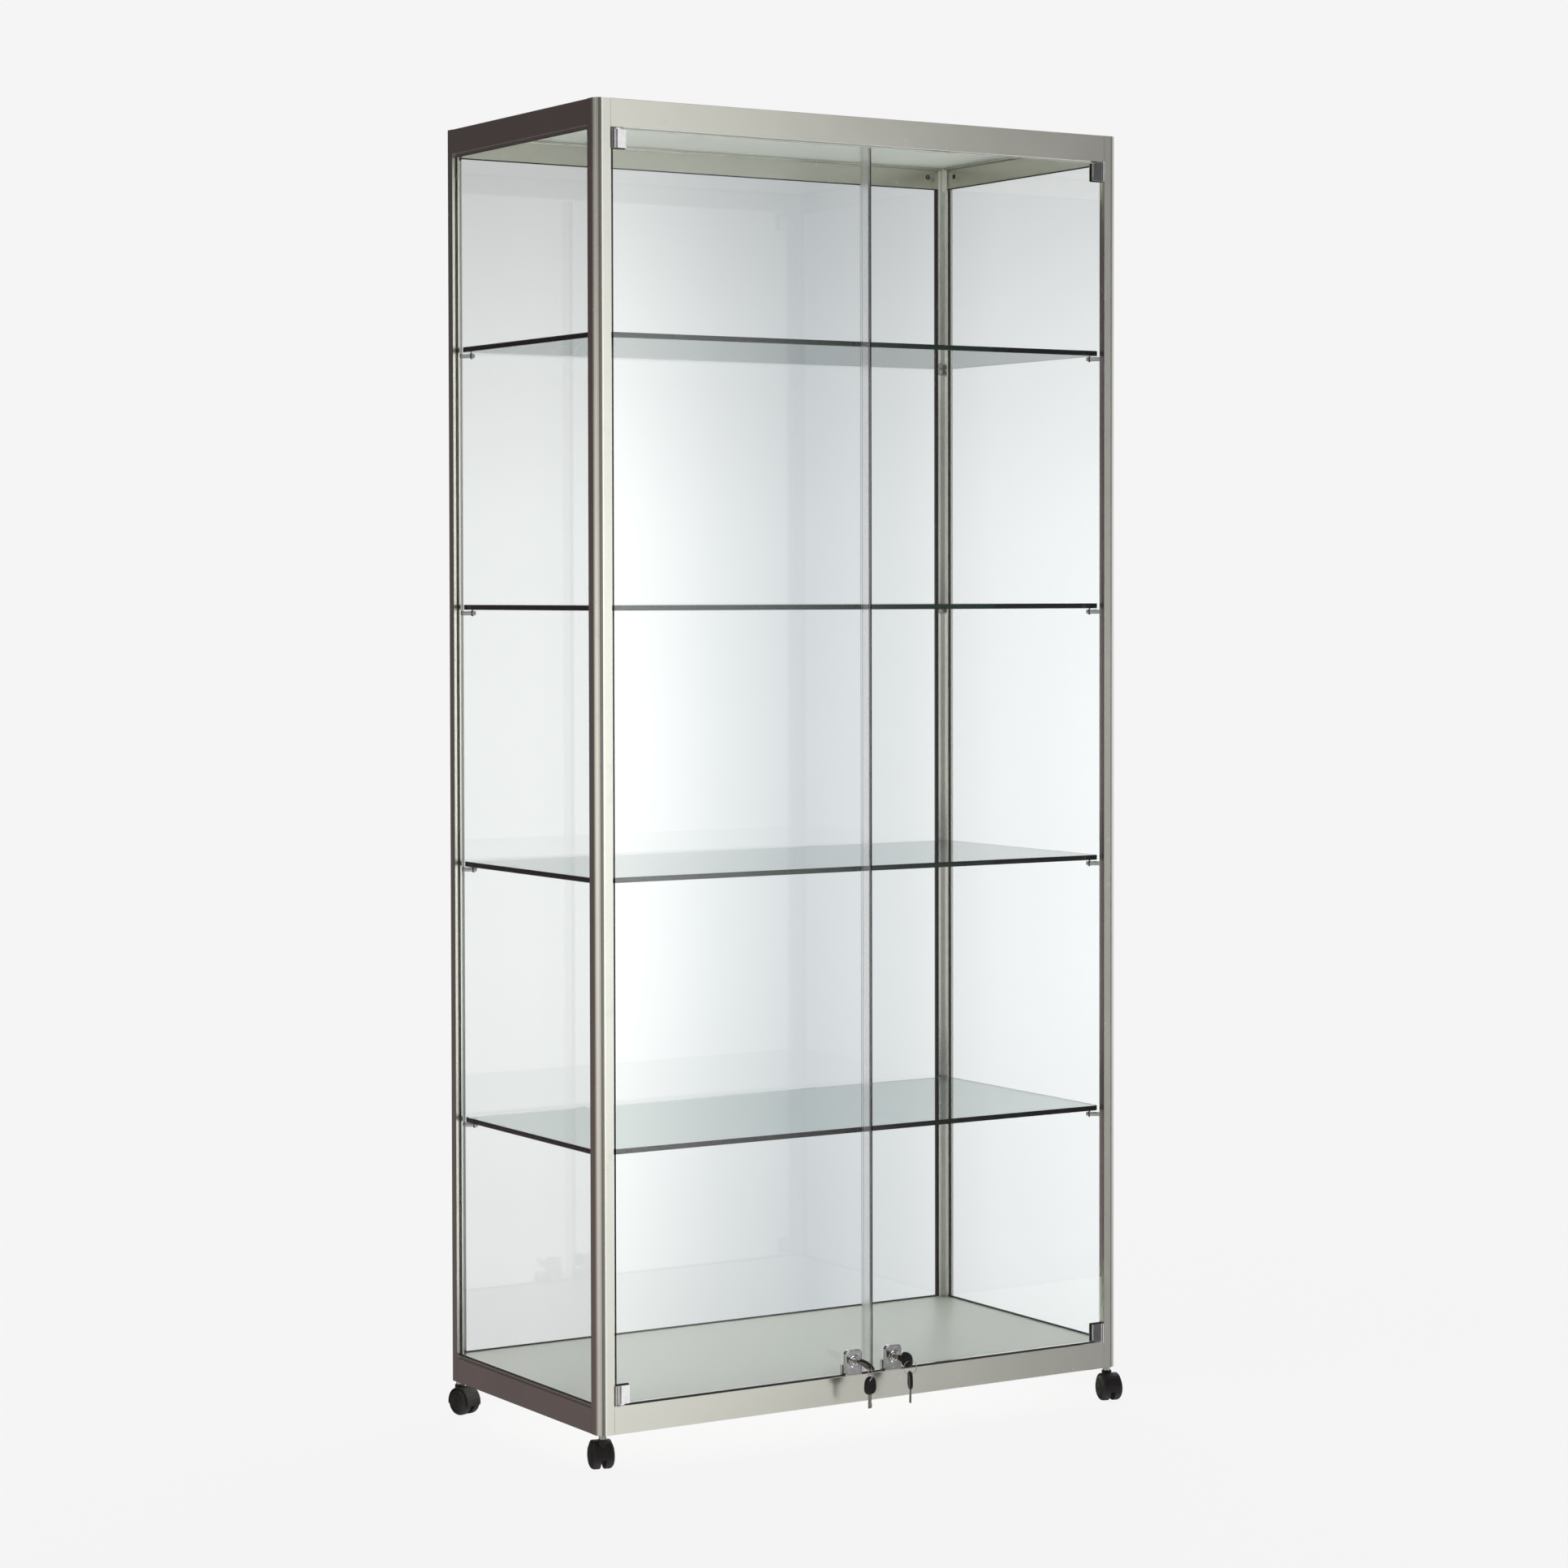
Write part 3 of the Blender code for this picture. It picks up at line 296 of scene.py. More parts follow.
def add_directions(tree):
    """Each ray's turn round the horizon and its rise above it, from 0 to 1."""
    direction = node(tree, "ShaderNodeTexCoord").outputs["Generated"]
    axes = node(tree, "ShaderNodeSeparateXYZ", {"Vector": direction}).outputs
    azimuth = node(tree, "ShaderNodeMath", {0: axes["X"], 1: axes["Y"]}, operation="ARCTAN2").outputs[0]
    height = node(tree, "ShaderNodeMath", {0: axes["Z"]}, operation="ARCSINE").outputs[0]
    turn = span(tree, azimuth, 0, 1, -math.pi, math.pi)
    rise = span(tree, height, 0, 1, -math.pi / 2, math.pi / 2)
    return turn, rise


def studio_colour(tree, turn, rise):
    """Colour of the studio in every direction."""
    upwards = upward_share(tree, rise, FRONT_UPWARDS)
    for share, profile in (
        (LEFT_SHARE, LEFT_UPWARDS), (REAR_LEFT_SHARE, REAR_LEFT_UPWARDS), (REAR_SHARE, REAR_UPWARDS),
    ):
        upwards = blended(tree, round_share(tree, turn, share), upwards, upward_share(tree, rise, profile))
    return blended(tree, 1.0, round_ramp(tree, turn, STUDIO_ROUND), upwards, "MULTIPLY")


def studio_strength(tree, turn, rise, matt, reflected):
    """How strongly a ray sees the studio, by the kinds of surface it has met."""
    rear_below = product(tree, round_share(tree, turn, REAR_SHARE), upward_share(tree, rise, BELOW_SHARE))
    strength = span(tree, product(tree, rear_below, reflected), 1, 1 - DIM_BELOW)
    sharp = product(tree, upward_share(tree, rise, SHARP_UPWARDS), round_share(tree, turn, SHARP_ROUND))
    share = node(tree, "ShaderNodeMix", {0: matt, 2: sharp, 3: MATT_SHARE}).outputs[0]
    return product(tree, strength, share)


def bare_share(tree, turn, rise, path, matt, reflected):
    """1 for the camera's own rays and for straight views through glass towards the plain background."""
    outside = larger(tree, round_share(tree, turn, PLAIN_ROUND), upward_share(tree, rise, PLAIN_UPWARDS))
    unbent = span(tree, added(tree, matt, reflected, 1.0), 1, 0)
    straight = product(tree, path["Is Transmission Ray"], unbent)
    return larger(tree, path["Is Camera Ray"], product(tree, straight, outside))


def add_world():
    """Plain background for the camera; a soft studio all round for light and reflections."""
    world = bpy.data.worlds.new("studio")
    world.use_nodes = True
    tree = world.node_tree
    turn, rise = add_directions(tree)
    path = node(tree, "ShaderNodeLightPath").outputs
    matt = span(tree, path["Diffuse Depth"], 0, 1)
    reflected = span(tree, path["Glossy Depth"], 0, 1)

    studio = tree.nodes["Background"]
    tree.links.new(studio_colour(tree, turn, rise), studio.inputs["Color"])
    tree.links.new(studio_strength(tree, turn, rise, matt, reflected), studio.inputs["Strength"])
    plain = node(tree, "ShaderNodeBackground", {"Color": (*grey(BACKGROUND), 1)})
    bare = bare_share(tree, turn, rise, path, matt, reflected)
    seen = node(tree, "ShaderNodeMixShader", {0: bare, 1: studio.outputs[0], 2: plain.outputs[0]})
    tree.links.new(seen.outputs[0], tree.nodes["World Output"].inputs["Surface"])
    bpy.context.scene.world = world
    bpy.context.scene.view_settings.view_transform = "Standard"


def add_floor():
    """Pale floor that meets the background without a horizon and keeps a faint contact shadow.

    Only the camera sees it: for light and reflections the studio's lower half stands for it.
    """
    bpy.ops.mesh.primitive_plane_add(size=FLOOR_SIZE)
    floor = bpy.context.object
    floor.name = "floor"
    material = bpy.data.materials.new("floor")
    material.use_nodes = True
    tree = material.node_tree
    tree.nodes.clear()
    glow = node(tree, "ShaderNodeEmission", {"Color": (*grey(FLOOR_GLOW), 1)}).outputs[0]
    matt = node(tree, "ShaderNodeBsdfDiffuse", {"Color": (*grey(FLOOR_MATT), 1)}).outputs[0]
    pale = node(tree, "ShaderNodeMixShader", {0: FLOOR_SHADE, 1: glow, 2: matt}).outputs[0]
    unseen = node(tree, "ShaderNodeBsdfTransparent").outputs[0]
    camera_ray = node(tree, "ShaderNodeLightPath").outputs["Is Camera Ray"]
    mixed = node(tree, "ShaderNodeMixShader", {0: camera_ray, 1: unseen, 2: pale}).outputs[0]
    node(tree, "ShaderNodeOutputMaterial", {"Surface": mixed})
    floor.data.materials.append(material)


# ---------------------------------------------------------------- materials

# Noise stretched into lines along one axis
ALONG = {"x": (1, 260, 260), "y": (260, 1, 260), "z": (260, 260, 1)}

# Darker and lighter tint of each finish
CHAMPAGNE = ((0.745, 0.735, 0.655), (0.785, 0.780, 0.705))
PLATING = ((0.72, 0.71, 0.72), (0.82, 0.81, 0.82))
KEY_METAL = ((0.42, 0.38, 0.26), (0.62, 0.60, 0.50))
BOARD = ((0.850, 0.890, 0.800), (0.890, 0.920, 0.835))
MILKY = ((0.93, 0.93, 0.93), (0.99, 0.99, 0.99))
ZINC = ((0.495, 0.504, 0.486), (0.605, 0.616, 0.594))
DUST = (0.46, 0.45, 0.40)
GLASS_INDEX = 1.5
SEAL_INDEX = 1.45


def aluminium(axis):
    """Champagne anodised extrusion: die lines along its length, fine blasted grain, handling marks."""
    material, tree, shader = surface(f"anodised_aluminium_{axis}", Metallic=1.0)
    lines = noise(tree, 6, 4, 0.6, ALONG[axis])
    grain = noise(tree, 2600, 2)
    patches = noise(tree, 7, 4, 0.6)
    marks = span(tree, noise(tree, 34, 5, 0.7), 0, 1, 0.60, 0.74)
    brushed = span(tree, lines, 0.21, 0.26)
    feed(
        tree, shader,
        Base_Color=tinted(tree, added(tree, patches, grain, 0.12), *CHAMPAGNE),
        Roughness=added(tree, added(tree, brushed, marks, 0.05), patches, 0.02),
    )
    bumped(tree, shader, added(tree, lines, grain, 0.5), 0.006 * MM, 0.4)
    return material


def steel():
    """Zinc-plated steel with uneven sheen."""
    material, tree, shader = surface("zinc_steel", Metallic=1.0)
    grain = noise(tree, 900, 3)
    patches = noise(tree, 60, 4)
    feed(
        tree, shader,
        Base_Color=tinted(tree, patches, *ZINC),
        Roughness=added(tree, span(tree, patches, 0.24, 0.38), grain, 0.06),
    )
    bumped(tree, shader, grain, 0.02 * MM, 0.6)
    return material


def chrome():
    """Bright plating with hairline scratches and a light bloom of finger marks."""
    material, tree, shader = surface("chrome", Metallic=1.0)
    scratches = noise(tree, 90, 6, 0.75, (1, 9, 3))
    bloom = noise(tree, 160, 4)
    feed(
        tree, shader,
        Base_Color=tinted(tree, bloom, *PLATING),
        Roughness=added(tree, span(tree, scratches, 0.05, 0.12, 0.4, 0.8), bloom, 0.07),
    )
    bumped(tree, shader, scratches, 0.01 * MM, 0.4)
    return material


def nickel_silver():
    """Key blades: yellowish nickel silver, rubbed bright along the blade."""
    material, tree, shader = surface("nickel_silver", Metallic=1.0)
    rubbed = noise(tree, 240, 4, 0.6, (1, 1, 0.2))
    feed(
        tree, shader,
        Base_Color=tinted(tree, rubbed, *KEY_METAL),
        Roughness=span(tree, rubbed, 0.34, 0.18),
    )
    bumped(tree, shader, rubbed, 0.02 * MM, 0.5)
    return material


def glass(name, colour, density, smudge):
    """Float glass, green in its depth, with faint smears of handling and cleaning."""
    material, tree, shader = surface(name, Transmission_Weight=1.0, IOR=GLASS_INDEX)
    shader.inputs["Base Color"].default_value = (1, 1, 1, 1)
    smears = noise(tree, 5, 6, 0.7, (1, 1, 0.5))
    feed(tree, shader, Roughness=span(tree, smears, 0.0, smudge, 0.50, 0.80))
    bumped(tree, shader, noise(tree, 3, 1), 0.03 * MM, 0.3)
    depth = node(tree, "ShaderNodeVolumeAbsorption", {"Color": (*colour, 1), "Density": density})
    output = tree.nodes["Material Output"]
    tree.links.new(depth.outputs[0], output.inputs["Volume"])
    return material


def laminate():
    """Pale greenish-white board: soft orange peel, a few specks of dust, dulled patches."""
    material, tree, shader = surface("pale_laminate")
    peel = noise(tree, 420, 2)
    patches = noise(tree, 5, 5, 0.65)
    specks = span(tree, noise(tree, 520, 2, 0.5), 0, 1, 0.74, 0.80)
    board = tinted(tree, patches, *BOARD)
    dusty = node(tree, "ShaderNodeMix", {0: specks}, data_type="RGBA")
    tree.links.new(board, dusty.inputs[MIX_FIRST])
    dusty.inputs[MIX_SECOND].default_value = (*DUST, 1)
    feed(tree, shader, Base_Color=dusty.outputs[MIX_RESULT], Roughness=span(tree, patches, 0.30, 0.46))
    bumped(tree, shader, peel, 0.05 * MM, 0.5)
    return material


def moulded(name, dark, light, low, high, texture=700, depth=0.05):
    """Moulded plastic or rubber: fine texture, uneven sheen and a little dust."""
    material, tree, shader = surface(name, Specular_IOR_Level=0.32)
    grain = noise(tree, texture, 3)
    dust = noise(tree, 70, 5, 0.7)
    feed(
        tree, shader,
        Base_Color=tinted(tree, dust, dark, light),
        Roughness=span(tree, dust, low, high, TINT_START, TINT_END),
    )
    bumped(tree, shader, grain, depth * MM, 0.6)
    return material


def clear_seal():
    """Milky flexible profile with drawn lines along it."""
    material, tree, shader = surface("clear_seal", Transmission_Weight=0.97, IOR=SEAL_INDEX)
    lines = noise(tree, 4, 3, 0.5, (700, 700, 1))
    feed(
        tree, shader,
        Base_Color=tinted(tree, lines, *MILKY),
        Roughness=span(tree, lines, 0.03, 0.14),
    )
    bumped(tree, shader, lines, 0.03 * MM, 0.4)
    return material


MATERIALS = {
    "aluminium_x": aluminium("x"),
    "aluminium_y": aluminium("y"),
    "aluminium_z": aluminium("z"),
    "steel": steel(),
    "chrome": chrome(),
    "nickel_silver": nickel_silver(),
    "pane_glass": glass("pane_glass", (0.55, 0.82, 0.72), 8.0, 0.020),
    "shelf_glass": glass("shelf_glass", (0.35, 0.64, 0.58), 25.0, 0.012),
    "laminate": laminate(),
    "black_nylon": moulded("black_nylon", (0.007, 0.006, 0.006), (0.015, 0.013, 0.012), 0.42, 0.60),
    "wheel_nylon": moulded("wheel_nylon", (0.007, 0.006, 0.006), (0.018, 0.016, 0.014), 0.46, 0.66, 420),
    "bow_plastic": moulded(
        "bow_plastic", (0.005, 0.0045, 0.005), (0.012, 0.010, 0.011), 0.28, 0.42, 1100, 0.03
    ),
    "rubber": moulded("rubber", (0.020, 0.020, 0.020), (0.055, 0.054, 0.052), 0.50, 0.72),
    "clear_seal": clear_seal(),
}

# Material of each CAD node that stays, by the start of its name; the first match counts
NODE_LOOKS = (
    ("post_", "aluminium_z"),
    ("top_rail_front", "aluminium_x"),
    ("top_rail_rear", "aluminium_x"),
    ("bottom_rail_front", "aluminium_x"),
    ("bottom_rail_rear", "aluminium_x"),
    ("top_rail_", "aluminium_y"),
    ("bottom_rail_", "aluminium_y"),
    ("top_panel", "laminate"),
    ("base_panel", "laminate"),
    ("glass_", "pane_glass"),
    ("door_glass_", "pane_glass"),
    ("shelf_", "shelf_glass"),
    ("peg_strip_", "steel"),
    ("door_seal", "clear_seal"),
    ("hinge_", "chrome"),
    ("lock_bolt_", "steel"),
    ("castor_stem_", "steel"),
    ("castor_hood_", "black_nylon"),
)


def dress_nodes():
    """Gives each CAD node that stays its material."""
    for name, item in NODES.items():
        look = next((look for start, look in NODE_LOOKS if name.startswith(start)), None)
        if look:
            item.data.materials.clear()
            item.data.materials.append(MATERIALS[look])


# ---------------------------------------------------------------- mesh helpers

LATHE_STEPS = 48                    # sides of a small turned part
FINE_STEPS = 56                     # sides of a bezel or a ring
WHEEL_STEPS = 72
SCREW_STEPS = 32
CUTTER_STEPS = 32


def turned_to(direction, place):
    """Matrix that takes local +Z to a direction, at a place."""
    turn = Vector(direction).to_track_quat("Z", "Y").to_matrix().to_4x4()
    return Matrix.Translation(place) @ turn


def add_rings(bm, rings, closed=False):
    """Skins a list of point rings; open skins are capped at both ends."""
    loops = [[bm.verts.new(point) for point in ring] for ring in rings]
    pairs = list(zip(loops, loops[1:]))
    if closed:
        pairs.append((loops[-1], loops[0]))
    count = len(loops[0])
    for first, second in pairs:
        for i in range(count):
            j = (i + 1) % count
            bm.faces.new((first[i], first[j], second[j], second[i]))
    if not closed:
        bm.faces.new(loops[0])
        bm.faces.new(loops[-1])


def circle(radius, height, place, steps):
    """Points of a circle about local Z."""
    angles = [2 * math.pi * i / steps for i in range(steps)]
    return [place @ Vector((radius * math.cos(a), radius * math.sin(a), height)) for a in angles]


def add_lathe(bm, profile, place, steps=LATHE_STEPS):
    """A closed solid from (radius, height) points in millimetres, turned about local Z."""
    add_rings(bm, [circle(radius * MM, height * MM, place, steps) for radius, height in profile])


def add_torus(bm, place, major, minor, steps, sections=10):
    """A ring of round wire in the local XY plane."""
    rings = []
    for i in range(steps):
        turn = place @ Matrix.Rotation(2 * math.pi * i / steps, 4, "Z")
        angles = [2 * math.pi * k / sections for k in range(sections)]
        rings.append([
            turn @ Vector((major + minor * math.cos(a), 0, minor * math.sin(a))) for a in angles
        ])
    add_rings(bm, rings, closed=True)


def add_slab(bm, outline, low, high, place):
    """An outline of (x, y) points, extruded from low to high along local Z."""
    add_rings(bm, [[place @ Vector((x, y, z)) for x, y in outline] for z in (low, high)])


def add_box(bm, low, high):
    """A box between two corners, in world coordinates."""
    outline = [(low[0], low[1]), (high[0], low[1]), (high[0], high[1]), (low[0], high[1])]
    add_slab(bm, outline, low[2], high[2], Matrix.Identity(4))


def round_edges(bm, width, segments):
    """Rounds every sharp edge."""
    bmesh.ops.recalc_face_normals(bm, faces=bm.faces)
    edges = [edge for edge in bm.edges if edge.is_manifold and edge.calc_face_angle(0) > SHARP]
    bmesh.ops.bevel(bm, geom=edges, offset=width, segments=segments, profile=0.5, affect="EDGES")


def mesh_object(name, bm):
    """Turns a bmesh into an object of the scene."""
    mesh = bpy.data.meshes.new(name)
    bmesh.ops.recalc_face_normals(bm, faces=bm.faces)
    bm.to_mesh(mesh)
    bm.free()
    item = bpy.data.objects.new(name, mesh)
    bpy.context.scene.collection.objects.link(item)
    return item


def carve(item, cutters):
    """Cuts solids out of a piece and keeps only the result."""
    tools = [mesh_object("cutter", bm) for bm in cutters]
    for tool in tools:
        modifier = item.modifiers.new("cut", "BOOLEAN")
        modifier.operation = "DIFFERENCE"
        modifier.solver = "EXACT"
        modifier.object = tool
    depsgraph = bpy.context.evaluated_depsgraph_get()
    cut = bpy.data.meshes.new_from_object(item.evaluated_get(depsgraph))
    cut.name = item.name
    item.modifiers.clear()
    item.data = cut
    for tool in tools:
        bpy.data.objects.remove(tool, do_unlink=True)
    return item


def lathe_cutter(radius, low, high, place):
    """A round cutter about local Z, in millimetres."""
    bm = bmesh.new()
    add_lathe(bm, ((radius, low), (radius, high)), place, CUTTER_STEPS)
    return bm


def finish_piece(item, look, body, replaces=()):
    """Shading, material and body of a finished piece, and hides the CAD nodes it replaces."""
    item.data.materials.clear()
    item.data.materials.append(MATERIALS[look])
    item.data.shade_smooth()
    item.data.set_sharp_from_angle(angle=SHARP)
    normals = item.modifiers.new("normals", "WEIGHTED_NORMAL")
    normals.keep_sharp = True
    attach(item, body)
    if replaces:
        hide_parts(*replaces)
    return item


def piece(name, bm, look, body, replaces=()):
    """A finished piece made straight from a bmesh."""
    return finish_piece(mesh_object(name, bm), look, body, replaces)


def arc(centre, radius, start, end, steps):
    """Points along an arc, with its angles in degrees."""
    angles = [math.radians(start + (end - start) * i / steps) for i in range(steps + 1)]
    return [(centre[0] + radius * math.cos(a), centre[1] + radius * math.sin(a)) for a in angles]


def joint_place(name):
    """Where a joint's axis passes, from the frame."""
    return Vector(JOINTS[name]["pos_m"])


# ---------------------------------------------------------------- locks

LOCK_DEPTH = 8.4 * MM
LOCK_CORNER = 7 * MM
LOCK_FOOT_CORNER = 1.6 * MM
LOCK_ROUNDING = 1.7 * MM
STRAP = 1.2 * MM
STRAP_INSET = 1 * MM
STRAP_ROUNDING = 0.4 * MM
STRAP_ENTRY = 1 * MM                # how far the strap reaches into the case
LIP_DEPTH = 6 * MM
LIP_HEIGHT = 14 * MM
JOIN = 0.2 * MM                     # overlap of two solids that are one part

# The rest is in millimetres
LOCK_BORE = 6.1                     # radius of the plug's hole, cut from floor to mouth
LOCK_BORE_FLOOR = -7.3              # from the case's front face
LOCK_BORE_MOUTH = 4
BOLT_BORE = 2.8                     # radius of the bolt's hole, which goes right through the strap
BOLT_BORE_FOOT = -30                # from the bolt's middle
BOLT_BORE_PAST = 0.5                # above the bolt's top
PLUG_PROUD = 2.3
BEZEL = ((6.2, -0.2), (9.4, -0.2), (9.4, 0.5), (8.9, 1.0), (7.2, 1.25), (6.5, 1.1), (6.2, 0.6))


def upright_outline(half, low, high, top_corner, foot_corner):
    """A tall shape with round corners, as (x, z) points from the lower left."""
    foot_steps = 4
    top_steps = 10
    outline = arc((-half + foot_corner, low + foot_corner), foot_corner, 180, 270, foot_steps)
    outline += arc((half - foot_corner, low + foot_corner), foot_corner, 270, 360, foot_steps)
    outline += arc((half - top_corner, high - top_corner), top_corner, 0, 90, top_steps)
    outline += arc((-half + top_corner, high - top_corner), top_corner, 90, 180, top_steps)
    return outline


def lock_front(side):
    """Matrix with local Z pointing out of the lock's face, at the plug's axis."""
    place = joint_place(f"{side}_key_turn")
    place.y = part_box(f"lock_body_{side}")[0].y
    return turned_to((0, -1, 0), place)


def build_lock_case(side):
    """Chrome case with a crowned front and a hole for the plug."""
    low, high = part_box(f"lock_body_{side}")
    axis = joint_place(f"{side}_key_turn")
    half = (high.x - low.x) / 2
    outline = upright_outline(half, low.z, high.z, LOCK_CORNER, LOCK_FOOT_CORNER)
    stand = Matrix(((1, 0, 0, axis.x), (0, 0, 1, 0), (0, 1, 0, 0), (0, 0, 0, 1)))
    bm = bmesh.new()
    add_slab(bm, outline, low.y, low.y + LOCK_DEPTH, stand)
    round_edges(bm, LOCK_ROUNDING, 5)
    case = mesh_object(f"lock_case_{side}", bm)
    carve(case, [lathe_cutter(LOCK_BORE, LOCK_BORE_FLOOR, LOCK_BORE_MOUTH, lock_front(side))])
    finish_piece(case, "chrome", f"{side}_door", [f"lock_body_{side}"])


def build_lock_strap(side):
    """Strap under the glass, and the lip behind it that guides the bolt."""
    low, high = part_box(f"lock_body_{side}")
    axis = joint_place(f"{side}_key_turn")
    inner = (high.x - low.x) / 2 - STRAP_INSET
    lip_front = high.y - LIP_DEPTH
    bm = bmesh.new()
    add_box(
        bm,
        (axis.x - inner, low.y + LOCK_DEPTH - STRAP_ENTRY, low.z),
        (axis.x + inner, lip_front + JOIN, low.z + STRAP),
    )
    add_box(bm, (axis.x - inner, lip_front, low.z), (axis.x + inner, high.y, low.z + LIP_HEIGHT))
    round_edges(bm, STRAP_ROUNDING, 2)
    strap = mesh_object(f"lock_strap_{side}", bm)
    bolt_low, bolt_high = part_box(f"lock_bolt_{side}")
    middle = (bolt_low + bolt_high) / 2
    bore_top = (bolt_high.z - middle.z) / MM + BOLT_BORE_PAST
    carve(strap, [lathe_cutter(BOLT_BORE, BOLT_BORE_FOOT, bore_top, turned_to((0, 0, 1), middle))])
    finish_piece(strap, "chrome", f"{side}_door")


def build_lock_bezel(side):
    """Raised ring round the plug."""
    outward = lock_front(side)
    rings = [circle(radius * MM, height * MM, outward, FINE_STEPS) for radius, height in BEZEL]
    bm = bmesh.new()
    add_rings(bm, rings, closed=True)
    piece(f"lock_bezel_{side}", bm, "chrome", f"{side}_door")


# ---------------------------------------------------------------- keys

BOW_LENGTH = 26 * MM
BOW_WIDTH = 24 * MM
BOW_STEPS = 48
BOW_POWER = 0.74                    # below 1 squares the bow's outline
BOW_TAPER = 0.14                    # loss of width towards the far end
BOW_RINGS = (                       # (scale, height in mm) over one face, from the middle outwards
    (0.40, 1.75), (0.46, 2.15), (0.84, 2.20), (0.93, 2.00), (0.985, 1.45), (1.0, 0.8),
)
BOW_HOLE = 3.2                      # radius in millimetres
BOW_HOLE_FROM_END = 5 * MM
PANEL_SHIFT = 3 * MM                # the sunk panel lies nearer the blade than the bow's middle
BLADE_HALF = 3.3 * MM
BLADE_THICKNESS = 2.2 * MM
BLADE_GROOVE = 0.9 * MM             # half the groove's width at the surface
BLADE_GROOVE_FOOT = 0.6             # share of that width at its floor
BLADE_WEB = 0.55                    # share of the thickness left between the grooves
NECK = 19 * MM
NECK_PLASTIC = 9 * MM
SPARE_BLADE = 20 * MM
NECK_ROUNDING = 0.6 * MM
BLADE_ENTRY = 2.5 * MM              # how far the blade reaches into the plug
BLADE_IN_NECK = 2 * MM
SPARE_BLADE_IN_BOW = 3 * MM
KEYWAY_LOW = -3 * MM                # along the plug's axis, out of its face
KEYWAY_HIGH = 2 * MM
KEYWAY_HALF = 3.5 * MM
KEYWAY_HALF_WIDTH = 1.3 * MM
PLUG = ((5.7, -6.6), (5.7, 1.2), (5.5, 1.9), (5.0, 2.3), (4.2, 2.3), (3.9, 2.0))
KEY_TURN = {"left": math.radians(-45), "right": 0.0}
SPARE_TWIST = {"left": math.radians(12), "right": math.radians(68)}
RING_DROP = 20 * MM
RING_WIRE = 0.5 * MM
RING_DIRECTION = {"left": (0.30, 0.95, 0), "right": (-0.97, 0.24, 0)}
CUTS = (0.0, 0.6, 1.7, 0.9, 2.0, 1.1, 0.4, 1.5)     # depth of each cut in the spare's blade, in mm


def bow_outline():
    """Bow from its blade end (0) to its far end, a little wider towards the blade."""
    points = []
    for i in range(BOW_STEPS):
        angle = 2 * math.pi * i / BOW_STEPS
        c = math.cos(angle)
        s = math.sin(angle)
        along = BOW_LENGTH / 2 * (1 + math.copysign(abs(c) ** BOW_POWER, c))
        width = BOW_WIDTH / 2 * (1.0 - BOW_TAPER * along / BOW_LENGTH)
        points.append((along, width * math.copysign(abs(s) ** BOW_POWER, s)))
    return points


def bow_object(name, place):
    """Bow in the local XY plane: blade end at the origin, +X away from the blade."""
    outline = bow_outline()
    middle = BOW_LENGTH / 2
    rings = []
    levels = [(scale, -height) for scale, height in BOW_RINGS]
    levels += [(scale, height) for scale, height in reversed(BOW_RINGS)]
    for scale, height in levels:
        shift = PANEL_SHIFT * (1 - scale) / (1 - BOW_RINGS[0][0])
        centre = middle - shift
        rings.append([
            place @ Vector((centre + (x - middle) * scale, y * scale, height * MM)) for x, y in outline
        ])
    bm = bmesh.new()
    add_rings(bm, rings)
    item = mesh_object(name, bm)
    hole = place @ Matrix.Translation((BOW_LENGTH - BOW_HOLE_FROM_END, 0, 0))
    return carve(item, [lathe_cutter(BOW_HOLE, -4, 4, hole)])


def add_blade(bm, start, end, place, cuts=()):
    """A blade along local X with a groove on both faces; cuts are taken from its +Y edge."""
    half = BLADE_THICKNESS / 2
    web = half * BLADE_WEB
    mouth = BLADE_GROOVE
    foot = mouth * BLADE_GROOVE_FOOT
    section = (
        (-BLADE_HALF, -half), (-mouth, -half), (-foot, -web),
        (foot, -web), (mouth, -half), (BLADE_HALF, -half),
        (BLADE_HALF, half), (mouth, half), (foot, web),
        (-foot, web), (-mouth, half), (-BLADE_HALF, half),
    )
    steps = max(len(cuts), 2)
    rings = []
    for i in range(steps):
        x = start + (end - start) * i / (steps - 1)
        depth = cuts[i] * MM if cuts else 0
        limit = BLADE_HALF - depth
        rings.append([place @ Vector((x, min(y, limit), z)) for y, z in section])
    add_rings(bm, rings)


def key_place(side):
    """Turn of the key in the lock, and the matrix of its blade.

    Local X runs out of the lock and local Y upwards, so an unturned bow's faces look left and right.
    """
    axis = joint_place(f"{side}_key_turn")
    turn = Matrix.Translation(axis) @ Matrix.Rotation(KEY_TURN[side], 4, "Y") @ Matrix.Translation(-axis)
    front = axis.copy()
    front.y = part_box(f"lock_body_{side}")[0].y - PLUG_PROUD * MM
    outwards = Matrix(((0, 0, 1, 0), (-1, 0, 0, 0), (0, 1, 0, 0), (0, 0, 0, 1)))
    return turn, turn @ Matrix.Translation(front) @ outwards


def build_plug(side):
    """The lock's plug, with the slot that the key enters."""
    turn, key = key_place(side)
    bm = bmesh.new()
    add_lathe(bm, PLUG, turn @ lock_front(side))
    plug = mesh_object(f"lock_plug_{side}", bm)
    slot = (
        (KEYWAY_LOW, -KEYWAY_HALF), (KEYWAY_HIGH, -KEYWAY_HALF),
        (KEYWAY_HIGH, KEYWAY_HALF), (KEYWAY_LOW, KEYWAY_HALF),
    )
    keyway = bmesh.new()
    add_slab(keyway, slot, -KEYWAY_HALF_WIDTH, KEYWAY_HALF_WIDTH, key)
    carve(plug, [keyway])
    finish_piece(plug, "chrome", f"{side}_key", [f"lock_key_{side}"])


